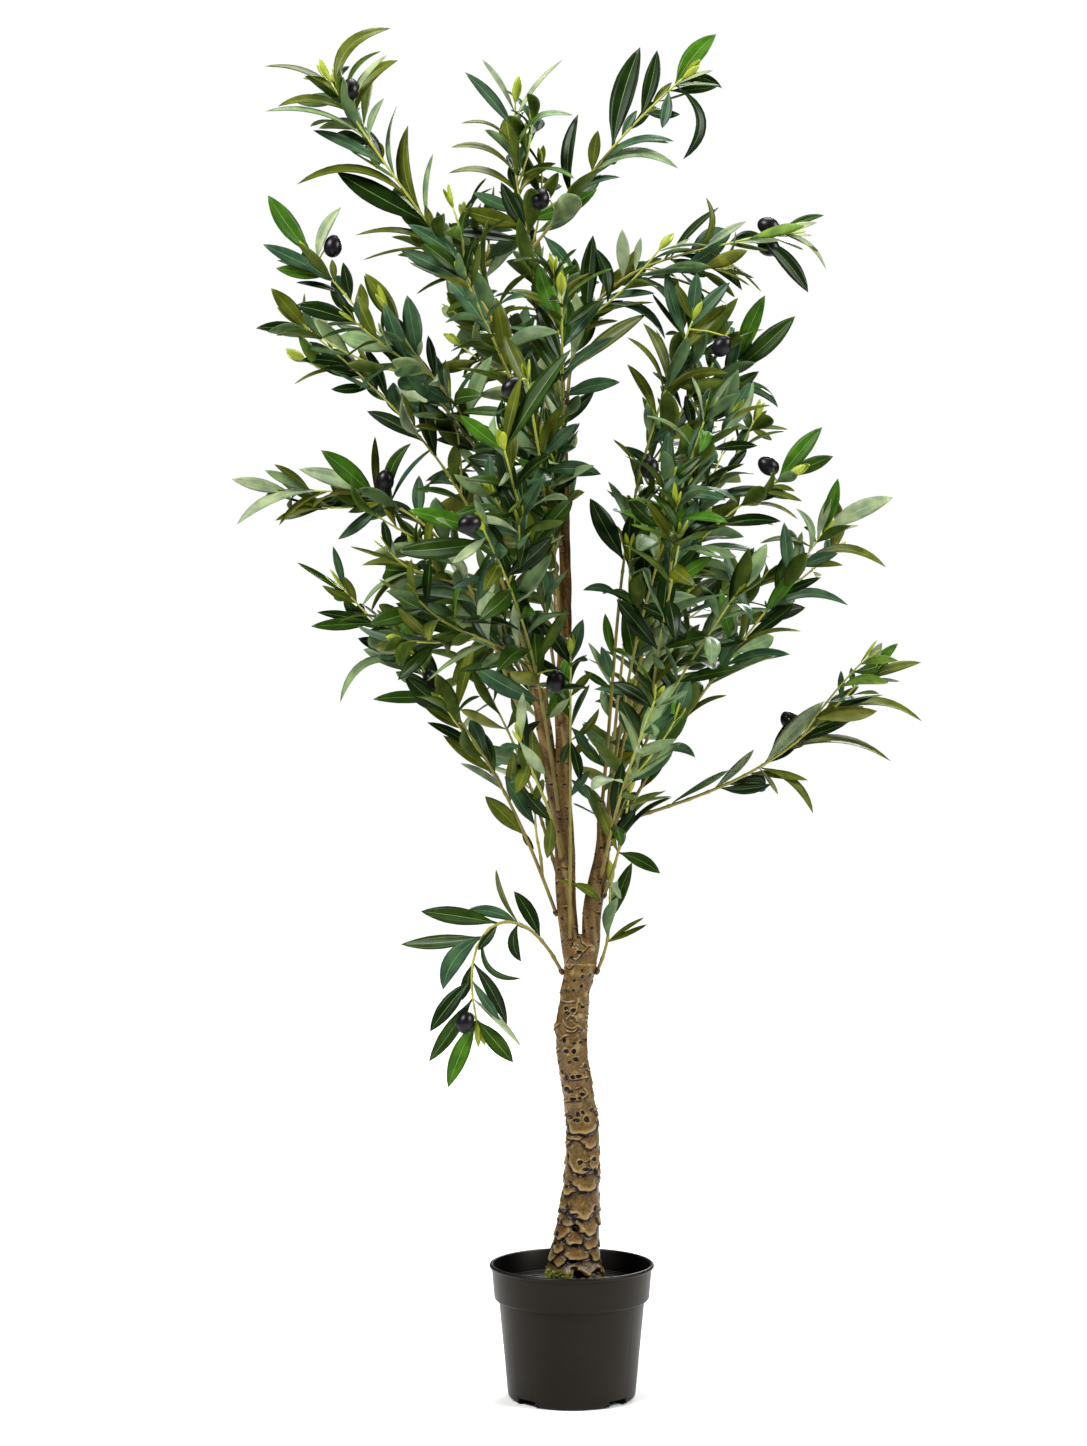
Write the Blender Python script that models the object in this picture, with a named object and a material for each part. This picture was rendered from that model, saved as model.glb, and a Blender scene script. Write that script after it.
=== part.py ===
"""A potted artificial olive tree, 1.5 m tall, in metres with +Z up.

A resin trunk with two boughs stands on the weight that fills a nursery pot. Each
spray of leaves and olives is plugged into a limb and keeps to its own space. The
origin is the middle of the pot's flat underside. X runs to the right and Y to the back.
"""

import itertools
import math
import random
from collections import namedtuple

import bpy
import numpy as np

X_AXIS, Y_AXIS, Z_AXIS = np.eye(3)
GAP = 0.0003  # clearance between neighbouring solids

# Pot: radii of its outside and heights above the ground.
POT_HEIGHT = 0.146
FOOT_RADIUS = 0.070
FOOT_ROUND = 0.005
BODY_RADIUS = 0.080
COLLAR_BOTTOM = 0.107
COLLAR_RADIUS = 0.085
COLLAR_TOP_RADIUS = 0.0878
STEP_ROUND = 0.003
LIP_RADIUS = 0.0903
LIP_HEIGHT = 0.005
WALL = 0.002
FLOOR = 0.0025
POT_SIDES = 32

# Drainage notches in the pot's foot, each under a raised pocket in the floor.
NOTCH_ANGLES = (45, 135, 225, 315)
NOTCH_WIDTH = 0.025
NOTCH_HEIGHT = 0.0073
NOTCH_INNER = 0.053
POCKET_WALL = 0.002

# Weight that fills the pot, under a disc with a raised edge.
FILL_LEVEL = 0.123
FILL_EDGE_RADIUS = 0.080
FILL_EDGE_WIDTH = 0.003
FILL_EDGE_HEIGHT = 0.0015

# Limbs: each station is (x, y, z, radius), from foot to tip.
LIMBS = {
    "trunk": (
        (0.003, 0.000, FILL_LEVEL + GAP, 0.0345),
        (0.003, 0.000, 0.150, 0.0280),
        (0.006, 0.001, 0.178, 0.0250),
        (0.009, 0.002, 0.210, 0.0218),
        (0.012, 0.002, 0.260, 0.0195),
        (0.011, 0.000, 0.305, 0.0180),
        (0.003, -0.003, 0.355, 0.0176),
        (0.000, -0.002, 0.390, 0.0178),
        (0.003, 0.000, 0.435, 0.0172),
        (0.009, 0.001, 0.470, 0.0180),
        (0.010, 0.001, 0.492, 0.0178),
    ),
    "left_bough": (
        (-0.001, 0.000, 0.492 + GAP, 0.0100),
        (-0.006, 0.002, 0.540, 0.0108),
        (-0.008, 0.004, 0.610, 0.0112),
        (-0.012, 0.002, 0.665, 0.0110),
        (-0.009, 0.000, 0.710, 0.0088),
        (-0.011, 0.002, 0.760, 0.0078),
        (-0.007, 0.004, 0.860, 0.0068),
        (-0.009, 0.000, 1.000, 0.0054),
        (-0.013, 0.000, 1.145, 0.0040),
    ),
    "right_bough": (
        (0.0205, 0.000, 0.492 + GAP, 0.0098),
        (0.0225, -0.002, 0.530, 0.0104),
        (0.028, -0.003, 0.565, 0.0104),
        (0.033, -0.002, 0.592, 0.0084),
        (0.034, -0.001, 0.620, 0.0066),
        (0.032, 0.000, 0.650, 0.0048),
    ),
    "cut_bough": (
        (-0.012, 0.002, 0.630, 0.0082),
        (-0.022, 0.001, 0.680, 0.0086),
        (-0.030, 0.000, 0.730, 0.0084),
        (-0.036, -0.001, 0.776, 0.0082),
    ),
}
LIMB_SIDES = 12
LIMB_STEPS = 2  # rings from one station to the next

# Sprays: a limb, the height of the foot on it, and the twigs. Each twig is the place
# of its tip and the slopes in degrees at which it leaves and arrives there. The first
# twig is the stem that stands on the limb, and the others fork from it, at the share
# of its length that ends their rows.
Spray = namedtuple("Spray", "limb foot stem forks", defaults=[()])
SPRAYS = {
    "spray_low_left": Spray("trunk", 0.466, (-0.104, -0.015, 0.414, 64, -104)),
    "spray_low_right": Spray("trunk", 0.466, (0.042, -0.004, 0.560, 66, 88)),
    "spray_left_1": Spray(
        "left_bough",
        0.530,
        (-0.247, -0.030, 0.882, 70, 46),
        [(-0.040, -0.034, 0.640, 85, 92, 0.1)],
    ),
    "spray_left_2": Spray(
        "cut_bough",
        0.700,
        (-0.310, 0.020, 0.993, 66, -4),
        [(-0.197, -0.040, 0.923, 62, 48, 0.4)],
    ),
    "spray_left_3": Spray("cut_bough", 0.776, (-0.290, 0.030, 1.172, 74, 40)),
    "spray_left_4": Spray(
        "left_bough",
        0.880,
        (-0.284, -0.020, 1.248, 66, 50),
        [(-0.198, -0.070, 1.180, 66, 58, 0.35)],
    ),
    "spray_top_left": Spray(
        "left_bough",
        1.020,
        (-0.263, -0.010, 1.438, 72, 58),
        [(-0.118, 0.070, 1.300, 70, 70, 0.3)],
    ),
    "spray_top": Spray(
        "left_bough",
        1.145,
        (-0.062, 0.010, 1.420, 78, 94),
        [(0.120, -0.020, 1.440, 50, 40, 0.42)],
    ),
    "spray_right_top": Spray("left_bough", 1.090, (0.229, 0.000, 1.276, 52, 12)),
    "spray_right_1": Spray(
        "right_bough",
        0.650,
        (0.131, -0.030, 1.175, 84, 66),
        [(0.184, 0.020, 1.134, 66, 62, 0.55)],
    ),
    "spray_right_2": Spray(
        "right_bough",
        0.638,
        (0.231, -0.045, 1.004, 77, 28),
        [(0.170, 0.080, 1.040, 74, 60, 0.35), (0.200, 0.005, 1.070, 76, 66, 0.6)],
    ),
    "spray_right_3": Spray("right_bough", 0.606, (0.281, 0.062, 0.950, 62, 54)),
    "spray_right_4": Spray("right_bough", 0.626, (0.320, -0.020, 0.790, 17, 48)),
    "spray_right_sprout": Spray("right_bough", 0.550, (0.062, -0.030, 0.660, 66, 80)),
    "spray_front_1": Spray("left_bough", 0.500, (-0.002, -0.080, 0.810, 84, 72)),
    "spray_front_2": Spray("left_bough", 0.590, (-0.055, -0.150, 0.718, 56, 40)),
    "spray_front_3": Spray(
        "left_bough",
        0.640,
        (-0.091, -0.250, 0.932, 66, 30),
        [(-0.160, -0.180, 0.865, 50, 40, 0.4)],
    ),
    "spray_front_4": Spray("left_bough", 0.740, (-0.070, -0.280, 1.010, 62, 38)),
    "spray_front_5": Spray(
        "left_bough",
        0.810,
        (-0.047, -0.230, 1.085, 68, 46),
        [(-0.037, -0.110, 1.039, 80, 80, 0.3)],
    ),
    "spray_front_6": Spray("left_bough", 0.930, (-0.110, -0.220, 1.190, 60, 40)),
    "spray_front_7": Spray("left_bough", 1.000, (-0.012, -0.140, 1.185, 62, 60)),
    "spray_front_8": Spray("right_bough", 0.570, (0.082, -0.230, 0.761, 50, 34)),
    "spray_front_9": Spray(
        "right_bough",
        0.600,
        (0.167, -0.170, 0.870, 66, 44),
        [(0.108, -0.215, 0.925, 66, 50, 0.4)],
    ),
    "spray_front_10": Spray("right_bough", 0.620, (0.135, -0.180, 1.050, 78, 56)),
    "spray_back_1": Spray("left_bough", 0.560, (-0.110, 0.190, 0.800, 60, 40)),
    "spray_back_2": Spray(
        "left_bough",
        0.660,
        (-0.120, 0.280, 0.900, 62, 30),
        [(-0.170, 0.170, 0.930, 60, 50, 0.4)],
    ),
    "spray_back_3": Spray("left_bough", 0.760, (-0.030, 0.300, 1.000, 60, 34)),
    "spray_back_4": Spray("left_bough", 0.840, (-0.160, 0.230, 1.110, 62, 44)),
    "spray_back_5": Spray(
        "left_bough",
        0.920,
        (-0.070, 0.250, 1.200, 64, 42),
        [(-0.040, 0.150, 1.250, 70, 66, 0.3)],
    ),
    "spray_back_6": Spray("left_bough", 1.050, (-0.160, 0.170, 1.280, 62, 50)),
    "spray_back_7": Spray("right_bough", 0.560, (0.090, 0.210, 0.770, 54, 36)),
    "spray_back_8": Spray(
        "right_bough",
        0.584,
        (0.130, 0.280, 0.900, 64, 34),
        [(0.220, 0.160, 0.900, 56, 40, 0.4)],
    ),
    "spray_back_9": Spray("right_bough", 0.612, (0.110, 0.200, 1.070, 76, 54)),
}

# Stems are three-sided and taper from foot to tip.
STEM_FOOT_RADIUS = 0.0024
STEM_TIP_RADIUS = 0.0013
FORK_RADIUS = 0.0018
STEM_SIDES = 3
STEM_STEP = 0.055
STEM_TURN = 0.35  # most that a stem turns from one ring to the next, in radians
BOW = 0.42  # reach of a route's handles, as a share of its chord

# Leaves stand in opposite pairs, each pair a quarter turn from the last.
PAIR_SPACING = 0.041
LEAFY_LENGTH = 0.280  # stretch behind the tip that carries leaves
BARE_SHARE = 0.12  # share of a twig at its foot that carries none
LEAF_LENGTH = (0.070, 0.090)  # near the tip and further in
LEAF_WIDTH = 0.33  # share of the length
LEAF_THICKNESS = 0.014  # share of the length
LEAF_BELLY = 0.45  # where the blade is widest, as a share of the length
LEAF_LIFT = 0.04  # how far the belly stands up, as a share of the length
LEAF_FOLD = 0.08  # how far the edges stand up from the middle, as a share of the width
LEAF_ARCH = (0.0, 0.16)  # how far the tip bends down, as a share of the length
LEAF_SPREAD = (34, 56)  # angle to the twig, in degrees
LEAF_DROOP = (0.07, 0.26)
LEAF_ROLL = 1.3  # most that a blade turns about its length, in radians
LEAF_SINK = 0.0006  # depth of the root in the twig
LENGTHS_VARY = (0.88, 1.12)
WIDTHS_VARY = (0.85, 1.15)
YOUNG_STRETCH = 0.10  # stretch behind a twig's tip where the leaves are still growing
PAIR_TURN = 0.3  # most that a pair departs from its quarter turn, in radians
TIP_LEAVES = 3
TIP_SPREAD = 20
TIP_SINK = 0.002

# Olives hang beside the twigs, at these places.
OLIVE_SIZE = (0.0100, 0.0125)  # half width and half length
OLIVE_SIDES = 6
OLIVE_BANDS = 4
STALK_RADIUS = 0.0009
STALK_TOP = 0.7  # where the stalk ends in the olive, as a share of its half length
OLIVES = (
    (-0.261, -0.012, 1.259),
    (-0.276, 0.034, 1.193),
    (-0.242, -0.014, 1.430),
    (-0.034, 0.000, 1.306),
    (0.220, -0.010, 1.282),
    (0.223, 0.006, 1.260),
    (0.165, 0.016, 1.150),
    (0.213, -0.034, 1.017),
    (0.085, -0.040, 1.014),
    (-0.062, -0.222, 1.078),
    (-0.105, -0.240, 0.938),
    (-0.205, 0.004, 1.004),
    (-0.152, -0.034, 0.783),
    (-0.018, -0.076, 0.782),
    (-0.116, -0.022, 0.412),
    (0.253, -0.020, 0.754),
    (-0.138, 0.214, 1.086),
    (0.118, 0.262, 0.880),
    (-0.044, 0.284, 0.982),
)

# The space is kept in small cells, so that no mass enters another's.
CELL = 0.0025
CELLS_ACROSS = 4096
STEPS_PER_CELL = 1.3
ROOT_SHARE = 0.3  # share of a blade at its root that may lie close to other blades
NEIGHBOURS = np.array(list(itertools.product((-1, 0, 1), repeat=3)))
SEED = 5

COLOURS = {  # base colour and roughness
    "pot": ((0.040, 0.036, 0.033), 0.50),
    "fill": ((0.018, 0.017, 0.017), 0.70),
    "bark": ((0.260, 0.180, 0.080), 0.45),
    "stem": ((0.180, 0.170, 0.040), 0.50),
    "leaf": ((0.030, 0.085, 0.030), 0.45),
    "olive": ((0.010, 0.007, 0.011), 0.18),
}


def material(kind):
    """The Principled material of this kind, made on first use."""
    found = bpy.data.materials.get(kind)
    if found:
        return found
    made = bpy.data.materials.new(kind)
    made.use_nodes = True
    shader = made.node_tree.nodes["Principled BSDF"]
    colour, roughness = COLOURS[kind]
    shader.inputs["Base Color"].default_value = (*colour, 1)
    shader.inputs["Roughness"].default_value = roughness
    return made


def solid(name, shape, kind):
    """An object with this (corners, faces) and its own material."""
    corners, faces = shape
    mesh = bpy.data.meshes.new(name)
    mesh.from_pydata([tuple(map(float, corner)) for corner in corners], [], faces)
    mesh.materials.append(material(kind))
    made = bpy.data.objects.new(name, mesh)
    bpy.context.scene.collection.objects.link(made)
    return made


def apply_boolean(target, operation, others):
    """Joins or cuts the target with the other objects at once, and removes them."""
    group = bpy.data.collections.new("operands")
    for other in others:
        group.objects.link(other)
    boolean = target.modifiers.new(operation.lower(), "BOOLEAN")
    boolean.operation = operation
    boolean.operand_type = "COLLECTION"
    boolean.collection = group
    boolean.material_mode = "TRANSFER"
    with bpy.context.temp_override(object=target):
        bpy.ops.object.modifier_apply(modifier=boolean.name)
    for other in others:
        bpy.data.objects.remove(other)
    bpy.data.collections.remove(group)


def smooth_shade(made, angle=40):
    made.data.shade_smooth()
    made.data.set_sharp_from_angle(angle=math.radians(angle))


# Shapes: each function gives (corners, faces), with the faces turned outward.


def turned(profile, sides):
    """A profile of (radius, z), from its lowest point on the axis to its highest, turned round Z."""
    corners = [(0, 0, profile[0][1])]
    for radius, z in profile[1:-1]:
        for turn in range(sides):
            angle = 2 * math.pi * turn / sides
            corners.append((radius * math.cos(angle), radius * math.sin(angle), z))
    corners.append((0, 0, profile[-1][1]))
    last = len(corners) - 1
    top_ring = last - sides
    faces = []
    for turn in range(sides):
        after = (turn + 1) % sides
        faces.append((0, 1 + after, 1 + turn))
        faces.append((last, top_ring + turn, top_ring + after))
        for ring in range(1, top_ring, sides):
            faces.append((ring + turn, ring + after, ring + sides + after, ring + sides + turn))
    return corners, faces


def skin(rings):
    """A closed tube through rings of corners, each counter-clockwise as seen from the last ring."""
    sides = len(rings[0])
    corners = [corner for ring in rings for corner in ring]
    faces = [tuple(reversed(range(sides))), tuple(range(len(corners) - sides, len(corners)))]
    for ring in range(0, len(corners) - sides, sides):
        for turn in range(sides):
            after = (turn + 1) % sides
            faces.append((ring + turn, ring + after, ring + sides + after, ring + sides + turn))
    return corners, faces


def ring_round(centre, radius, sides, first, second):
    """Corners round the centre, from the first direction towards the second."""
    angles = [2 * math.pi * turn / sides for turn in range(sides)]
    return [centre + radius * (math.cos(a) * first + math.sin(a) * second) for a in angles]


def tube(centres, radii, sides, corner):
    """A closed tube along the centres, whose first ring has a corner towards the given side."""
    centres = np.asarray(centres, float)
    rings = []
    for centre, radius, tangent in zip(centres, radii, np.gradient(centres, axis=0)):
        tangent = unit(tangent)
        corner = unit(corner - tangent * (corner @ tangent))
        rings.append(ring_round(centre, radius, sides, corner, np.cross(tangent, corner)))
    return skin(rings)


def box(low, high):
    corners = list(itertools.product(*zip(low, high)))
    faces = [(0, 1, 3, 2), (4, 6, 7, 5), (0, 4, 5, 1), (2, 3, 7, 6), (0, 2, 6, 4), (1, 5, 7, 3)]
    return corners, faces


def unit(vector):
    return vector / np.linalg.norm(vector)


def arc(centre, radius, start, end, steps):
    """Points on an arc about (radius, z), between two angles in degrees."""
    angles = np.radians(np.linspace(start, end, steps + 1))
    return [(centre[0] + radius * math.cos(a), centre[1] + radius * math.sin(a)) for a in angles]


# Pot and fill.


def body_radius(z):
    """Outside radius of the pot's body, which widens evenly up to the collar."""
    share = (z - FOOT_ROUND) / (COLLAR_BOTTOM - FOOT_ROUND)
    return FOOT_RADIUS + (BODY_RADIUS - FOOT_RADIUS) * share


def pot_profile():
    foot = arc((FOOT_RADIUS - FOOT_ROUND, FOOT_ROUND), FOOT_ROUND, -90, 0, 3)
    step_centre = (COLLAR_RADIUS - STEP_ROUND, COLLAR_BOTTOM + STEP_ROUND)
    step = arc(step_centre, STEP_ROUND, -90, 0, 2)
    lip_middle = POT_HEIGHT - LIP_HEIGHT / 2
    lip_bulge = LIP_RADIUS - COLLAR_TOP_RADIUS
    lip = arc((COLLAR_TOP_RADIUS, lip_middle), lip_bulge, -90, 90, 4)
    outside = [(0, 0), *foot, (BODY_RADIUS, COLLAR_BOTTOM), *step, *lip]
    collar_floor = COLLAR_BOTTOM + WALL
    inside = [
        (COLLAR_TOP_RADIUS - WALL, lip_middle + lip_bulge),
        (COLLAR_RADIUS - WALL, collar_floor),
        (BODY_RADIUS - WALL, collar_floor),
        (FOOT_RADIUS - WALL, FLOOR),
        (0, FLOOR),
    ]
    return outside + inside


def turned_object(name, shape, angle, kind):
    """The shape, turned about Z by the angle in degrees."""
    made = solid(name, shape, kind)
    made.rotation_euler.z = math.radians(angle)
    return made


def make_pot():
    pot = solid("pot", turned(pot_profile(), POT_SIDES), "pot")
    half = NOTCH_WIDTH / 2
    pocket_top = NOTCH_HEIGHT + POCKET_WALL
    pocket_shape = box(
        (NOTCH_INNER - POCKET_WALL, -half - POCKET_WALL, FLOOR / 2),
        (FOOT_RADIUS - WALL / 2, half + POCKET_WALL, pocket_top),
    )
    notch_shape = box((NOTCH_INNER, -half, -FLOOR), (2 * FOOT_RADIUS, half, NOTCH_HEIGHT))
    pockets = [turned_object("pocket", pocket_shape, angle, "pot") for angle in NOTCH_ANGLES]
    notches = [turned_object("notch", notch_shape, angle, "pot") for angle in NOTCH_ANGLES]
    apply_boolean(pot, "UNION", pockets)
    apply_boolean(pot, "DIFFERENCE", notches)
    smooth_shade(pot)


def make_fill():
    bottom = NOTCH_HEIGHT + POCKET_WALL + GAP
    inner = FILL_EDGE_RADIUS - FILL_EDGE_WIDTH
    edge_top = FILL_LEVEL + FILL_EDGE_HEIGHT
    clear = WALL + GAP
    shoulder = COLLAR_BOTTOM + clear
    profile = [
        (0, bottom),
        (body_radius(bottom) - clear, bottom),
        (BODY_RADIUS - clear, shoulder),
        (FILL_EDGE_RADIUS, shoulder),
        (FILL_EDGE_RADIUS, edge_top),
        (inner, edge_top),
        (inner, FILL_LEVEL),
        (0, FILL_LEVEL),
    ]
    smooth_shade(solid("fill", turned(profile, POT_SIDES), "fill"))


# Limbs.


def smooth_stations(stations):
    """Rows of (x, y, z, radius) on a smooth curve through the stations."""
    knots = np.array([stations[0], *stations, stations[-1]], float)
    rows = []
    for a, b, c, d in zip(knots, knots[1:], knots[2:], knots[3:]):
        for t in np.arange(LIMB_STEPS) / LIMB_STEPS:
            bend = (2 * a - 5 * b + 4 * c - d) * t**2 + (3 * b - a - 3 * c + d) * t**3
            rows.append(b + 0.5 * ((c - a) * t + bend))
    return np.array([*rows, knots[-1]])


def limb_shape(name, swell=0.0):
    """A tapering limb with level ends, thicker all round by the swell."""
    rows = smooth_stations(LIMBS[name])
    return skin([ring_round(row[:3], row[3] + swell, LIMB_SIDES, X_AXIS, Y_AXIS) for row in rows])


def make_limbs():
    limbs = {name: solid(name, limb_shape(name), "bark") for name in LIMBS}
    around_left_bough = solid("cutter", limb_shape("left_bough", swell=GAP), "bark")
    apply_boolean(limbs["cut_bough"], "DIFFERENCE", [around_left_bough])
    for limb in limbs.values():
        smooth_shade(limb)


def limb_surface(name):
    """Points on a limb, closer together than a cell."""
    rows = smooth_stations(LIMBS[name])
    heights = np.arange(rows[0, 2], rows[-1, 2], CELL)
    x, y, radius = (np.interp(heights, rows[:, 2], rows[:, column]) for column in (0, 1, 3))
    turns = np.linspace(0, 2 * math.pi, math.ceil(2 * math.pi * max(radius) / CELL))
    ring_x = x[:, None] + radius[:, None] * np.cos(turns)
    ring_y = y[:, None] + radius[:, None] * np.sin(turns)
    ring_z = np.repeat(heights[:, None], len(turns), axis=1)
    return np.stack((ring_x, ring_y, ring_z), axis=-1).reshape(-1, 3)


def side_radius(radius, heading):
    """How far a level ring of the limb reaches towards the heading, with its flat sides."""
    half_side = math.pi / LIMB_SIDES
    from_middle = math.atan2(heading[1], heading[0]) % (2 * half_side) - half_side
    return radius * math.cos(half_side) / math.cos(from_middle)


def seat(limb, height, tip, leave):
    """Where a stem stands on a limb, its end 0.3 mm clear: on the top, or on the side facing its tip."""
    rows = smooth_stations(LIMBS[limb])
    centre_x, centre_y, radius = (np.interp(height, rows[:, 2], rows[:, i]) for i in (0, 1, 3))
    heading = unit(np.array((tip[0] - centre_x, tip[1] - centre_y, 0)))
    centre = np.array((centre_x, centre_y, height))
    lean = math.radians(leave)
    if height >= rows[-1, 2]:
        lift = GAP + STEM_FOOT_RADIUS * math.cos(lean)
        return centre + heading * (radius - STEM_FOOT_RADIUS) / 2 + Z_AXIS * lift
    reach = side_radius(radius, heading)
    return centre + heading * (reach + GAP + STEM_FOOT_RADIUS * math.sin(lean))


# Twigs.


def route(foot, tip, leave, arrive):
    """Points on a curve in the upright plane through foot and tip, with these slopes at its ends."""
    chord = tip - foot
    heading = unit(np.array((chord[0], chord[1], 0)))
    slopes = [math.radians(slope) for slope in (leave, arrive)]
    start, end = (heading * math.cos(slope) + Z_AXIS * math.sin(slope) for slope in slopes)
    turn = abs(slopes[0] - slopes[1])
    reach = BOW * np.linalg.norm(chord) / math.cos(turn / 4) ** 3
    controls = (foot, foot + start * reach, tip - end * reach, tip)
    steps = max(3, round(np.linalg.norm(chord) / STEM_STEP), round(turn / STEM_TURN))
    t = np.linspace(0, 1, steps + 1)[:, None]
    weights = ((1 - t) ** 3, 3 * t * (1 - t) ** 2, 3 * t**2 * (1 - t), t**3)
    return sum(weight * control for weight, control in zip(weights, controls))


def spray_twigs(spray):
    """The routes of a spray's stem and of the twigs that fork from it."""
    *place, leave, arrive = spray.stem
    tip = np.array(place)
    stem = route(seat(spray.limb, spray.foot, tip, leave), tip, leave, arrive)
    routes = [stem]
    for *place, leave, arrive, share in spray.forks:
        foot, _ = walk(stem, (1 - share) * route_length(stem))
        routes.append(route(foot, np.array(place), leave, arrive))
    return routes


def twig_shape(points, foot_radius):
    radii = np.linspace(foot_radius, STEM_TIP_RADIUS, len(points))
    way = unit(points[1] - points[0])
    return tube(points, radii, STEM_SIDES, Z_AXIS * way[2] - way - Z_AXIS * 0.001)


def walk(points, distance):
    """The point at this distance back from the route's end, and the direction of growth there."""
    lengths = np.linalg.norm(np.diff(points, axis=0), axis=1)
    ends = np.concatenate(([0], np.cumsum(lengths)))
    along = max(ends[-1] - distance, 0)
    place = np.array([np.interp(along, ends, points[:, axis]) for axis in range(3)])
    piece = min(np.searchsorted(ends, along, side="right") - 1, len(lengths) - 1)
    return place, unit(points[piece + 1] - points[piece])


def route_length(points):
    return np.linalg.norm(np.diff(points, axis=0), axis=1).sum()


# Leaves.

Leaf = namedtuple("Leaf", "root along face length width arch")


def leaf_spine(leaf):
    belly = leaf.root + leaf.length * (LEAF_BELLY * leaf.along + LEAF_LIFT * leaf.face)
    tip = leaf.root + leaf.length * (leaf.along - leaf.arch * leaf.face)
    return belly, tip


def leaf_shape(leaf):
    """A blade of eight faces, widest at its belly, folded a little along its middle."""
    belly, tip = leaf_spine(leaf)
    side = np.cross(leaf.along, leaf.face) * leaf.width / 2
    fold = leaf.face * leaf.width * LEAF_FOLD
    half = leaf.face * leaf.length * LEAF_THICKNESS / 2
    corners = [leaf.root, tip, belly + side + fold, belly - side + fold, belly + half, belly - half]
    faces = [(0, 2, 4), (0, 4, 3), (0, 3, 5), (0, 5, 2), (1, 4, 2), (1, 3, 4), (1, 5, 3), (1, 2, 5)]
    return corners, faces


def leaf_points(leaf, start=0.0):
    """Points all over the blade from this share of its length on, closer together than a cell."""
    belly, tip = leaf_spine(leaf)
    side = np.cross(leaf.along, leaf.face) * leaf.width / 2
    shares = np.linspace(start, 1, math.ceil(leaf.length / CELL * STEPS_PER_CELL))
    places = (0, LEAF_BELLY, 1)
    spine = np.stack([np.interp(shares, places, ends) for ends in zip(leaf.root, belly, tip)], -1)
    widths = np.interp(shares, places, (0, 1, 0))
    across = np.linspace(-1, 1, math.ceil(leaf.width / CELL * STEPS_PER_CELL))
    return (spine[:, None] + (widths[:, None] * across)[..., None] * side).reshape(-1, 3)


def make_leaf(draw, root, way, out, distance, spread):
    """A leaf that leaves its twig on the side given by out, and droops a little."""
    lean = math.radians(spread)
    along = unit(math.cos(lean) * way + math.sin(lean) * out)
    along = unit(along - Z_AXIS * draw.uniform(*LEAF_DROOP))
    length = np.interp(distance, (0, YOUNG_STRETCH), LEAF_LENGTH) * draw.uniform(*LENGTHS_VARY)
    level = unit(np.cross(along, way))
    roll = draw.uniform(-LEAF_ROLL, LEAF_ROLL)
    face = np.cross(level, along) * math.cos(roll) + level * math.sin(roll)
    width = length * LEAF_WIDTH * draw.uniform(*WIDTHS_VARY)
    return Leaf(root - along * LEAF_SINK, along, face, length, width, draw.uniform(*LEAF_ARCH))


def twig_leaves(draw, points):
    """The leaves of one twig, from its tip back: a tuft, then opposite pairs."""
    place, way = walk(points, 0)
    turn = draw.uniform(0, math.pi)
    for number in range(TIP_LEAVES):
        out = sideways(way, turn + number * 2 * math.pi / TIP_LEAVES)
        yield make_leaf(draw, place - way * TIP_SINK, way, out, 0, TIP_SPREAD)
    length = route_length(points)
    last = min(LEAFY_LENGTH, length * (1 - BARE_SHARE))
    for distance in np.arange(PAIR_SPACING * 0.6, last, PAIR_SPACING):
        place, way = walk(points, distance)
        turn += math.pi / 2 + draw.uniform(-PAIR_TURN, PAIR_TURN)
        for side in (0, math.pi):
            out = sideways(way, turn + side)
            yield make_leaf(draw, place, way, out, distance, draw.uniform(*LEAF_SPREAD))


def sideways(way, turn):
    """A direction square to the way, turned about it."""
    level = unit(np.cross(way, (0.31, 0.17, 0.93)))
    return level * math.cos(turn) + np.cross(way, level) * math.sin(turn)


# Space.


class Space:
    """The cells that each limb, stem and leaf has taken."""

    def __init__(self):
        self.taken = {}
        self.blades = set()

    @staticmethod
    def cells(points, margin):
        steps = np.floor(np.asarray(points) / CELL).astype(int) + CELLS_ACROSS // 2
        if margin:
            steps = (steps[:, None] + NEIGHBOURS).reshape(-1, 3)
        return set((steps @ (1, CELLS_ACROSS, CELLS_ACROSS**2)).tolist())

    def take(self, owner, points):
        self.taken.setdefault(owner, set()).update(self.cells(points, margin=True))

    def is_clear(self, owner, points):
        """Whether these points keep out of the cells that other owners have taken."""
        cells = self.cells(points, margin=False)
        return all(cells.isdisjoint(taken) for name, taken in self.taken.items() if name != owner)

    def take_leaf(self, owner, leaf):
        """Takes the leaf's cells if it crosses no other owner and no other blade."""
        blade = leaf_points(leaf, start=ROOT_SHARE)
        if not self.cells(blade, margin=False).isdisjoint(self.blades):
            return False
        whole = leaf_points(leaf)
        if not self.is_clear(owner, whole):
            return False
        self.blades |= self.cells(blade, margin=True)
        self.take(owner, whole)
        return True


def tube_points(points, radius):
    """Points in and round a tube, closer together than a cell."""
    steps = math.ceil(route_length(points) / CELL * STEPS_PER_CELL)
    shares = np.linspace(0, len(points) - 1, steps)
    line = [np.interp(shares, range(len(points)), points[:, axis]) for axis in range(3)]
    offsets = radius * np.vstack((np.zeros(3), np.eye(3), -np.eye(3)))
    return (np.stack(line, -1)[:, None] + offsets).reshape(-1, 3)


# Olives.


def nearest_twig(place, routes):
    """The spray and the point of its twigs that lie nearest to the place."""
    def distance(choice):
        return np.linalg.norm(choice[1] - place)

    shares = np.linspace(0, 1, 8)[:, None]
    choices = []
    for name, twigs in routes.items():
        for points in twigs:
            for a, b in zip(points, points[1:]):
                choices += [(name, spot) for spot in a + (b - a) * shares]
    return min(choices, key=distance)


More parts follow.
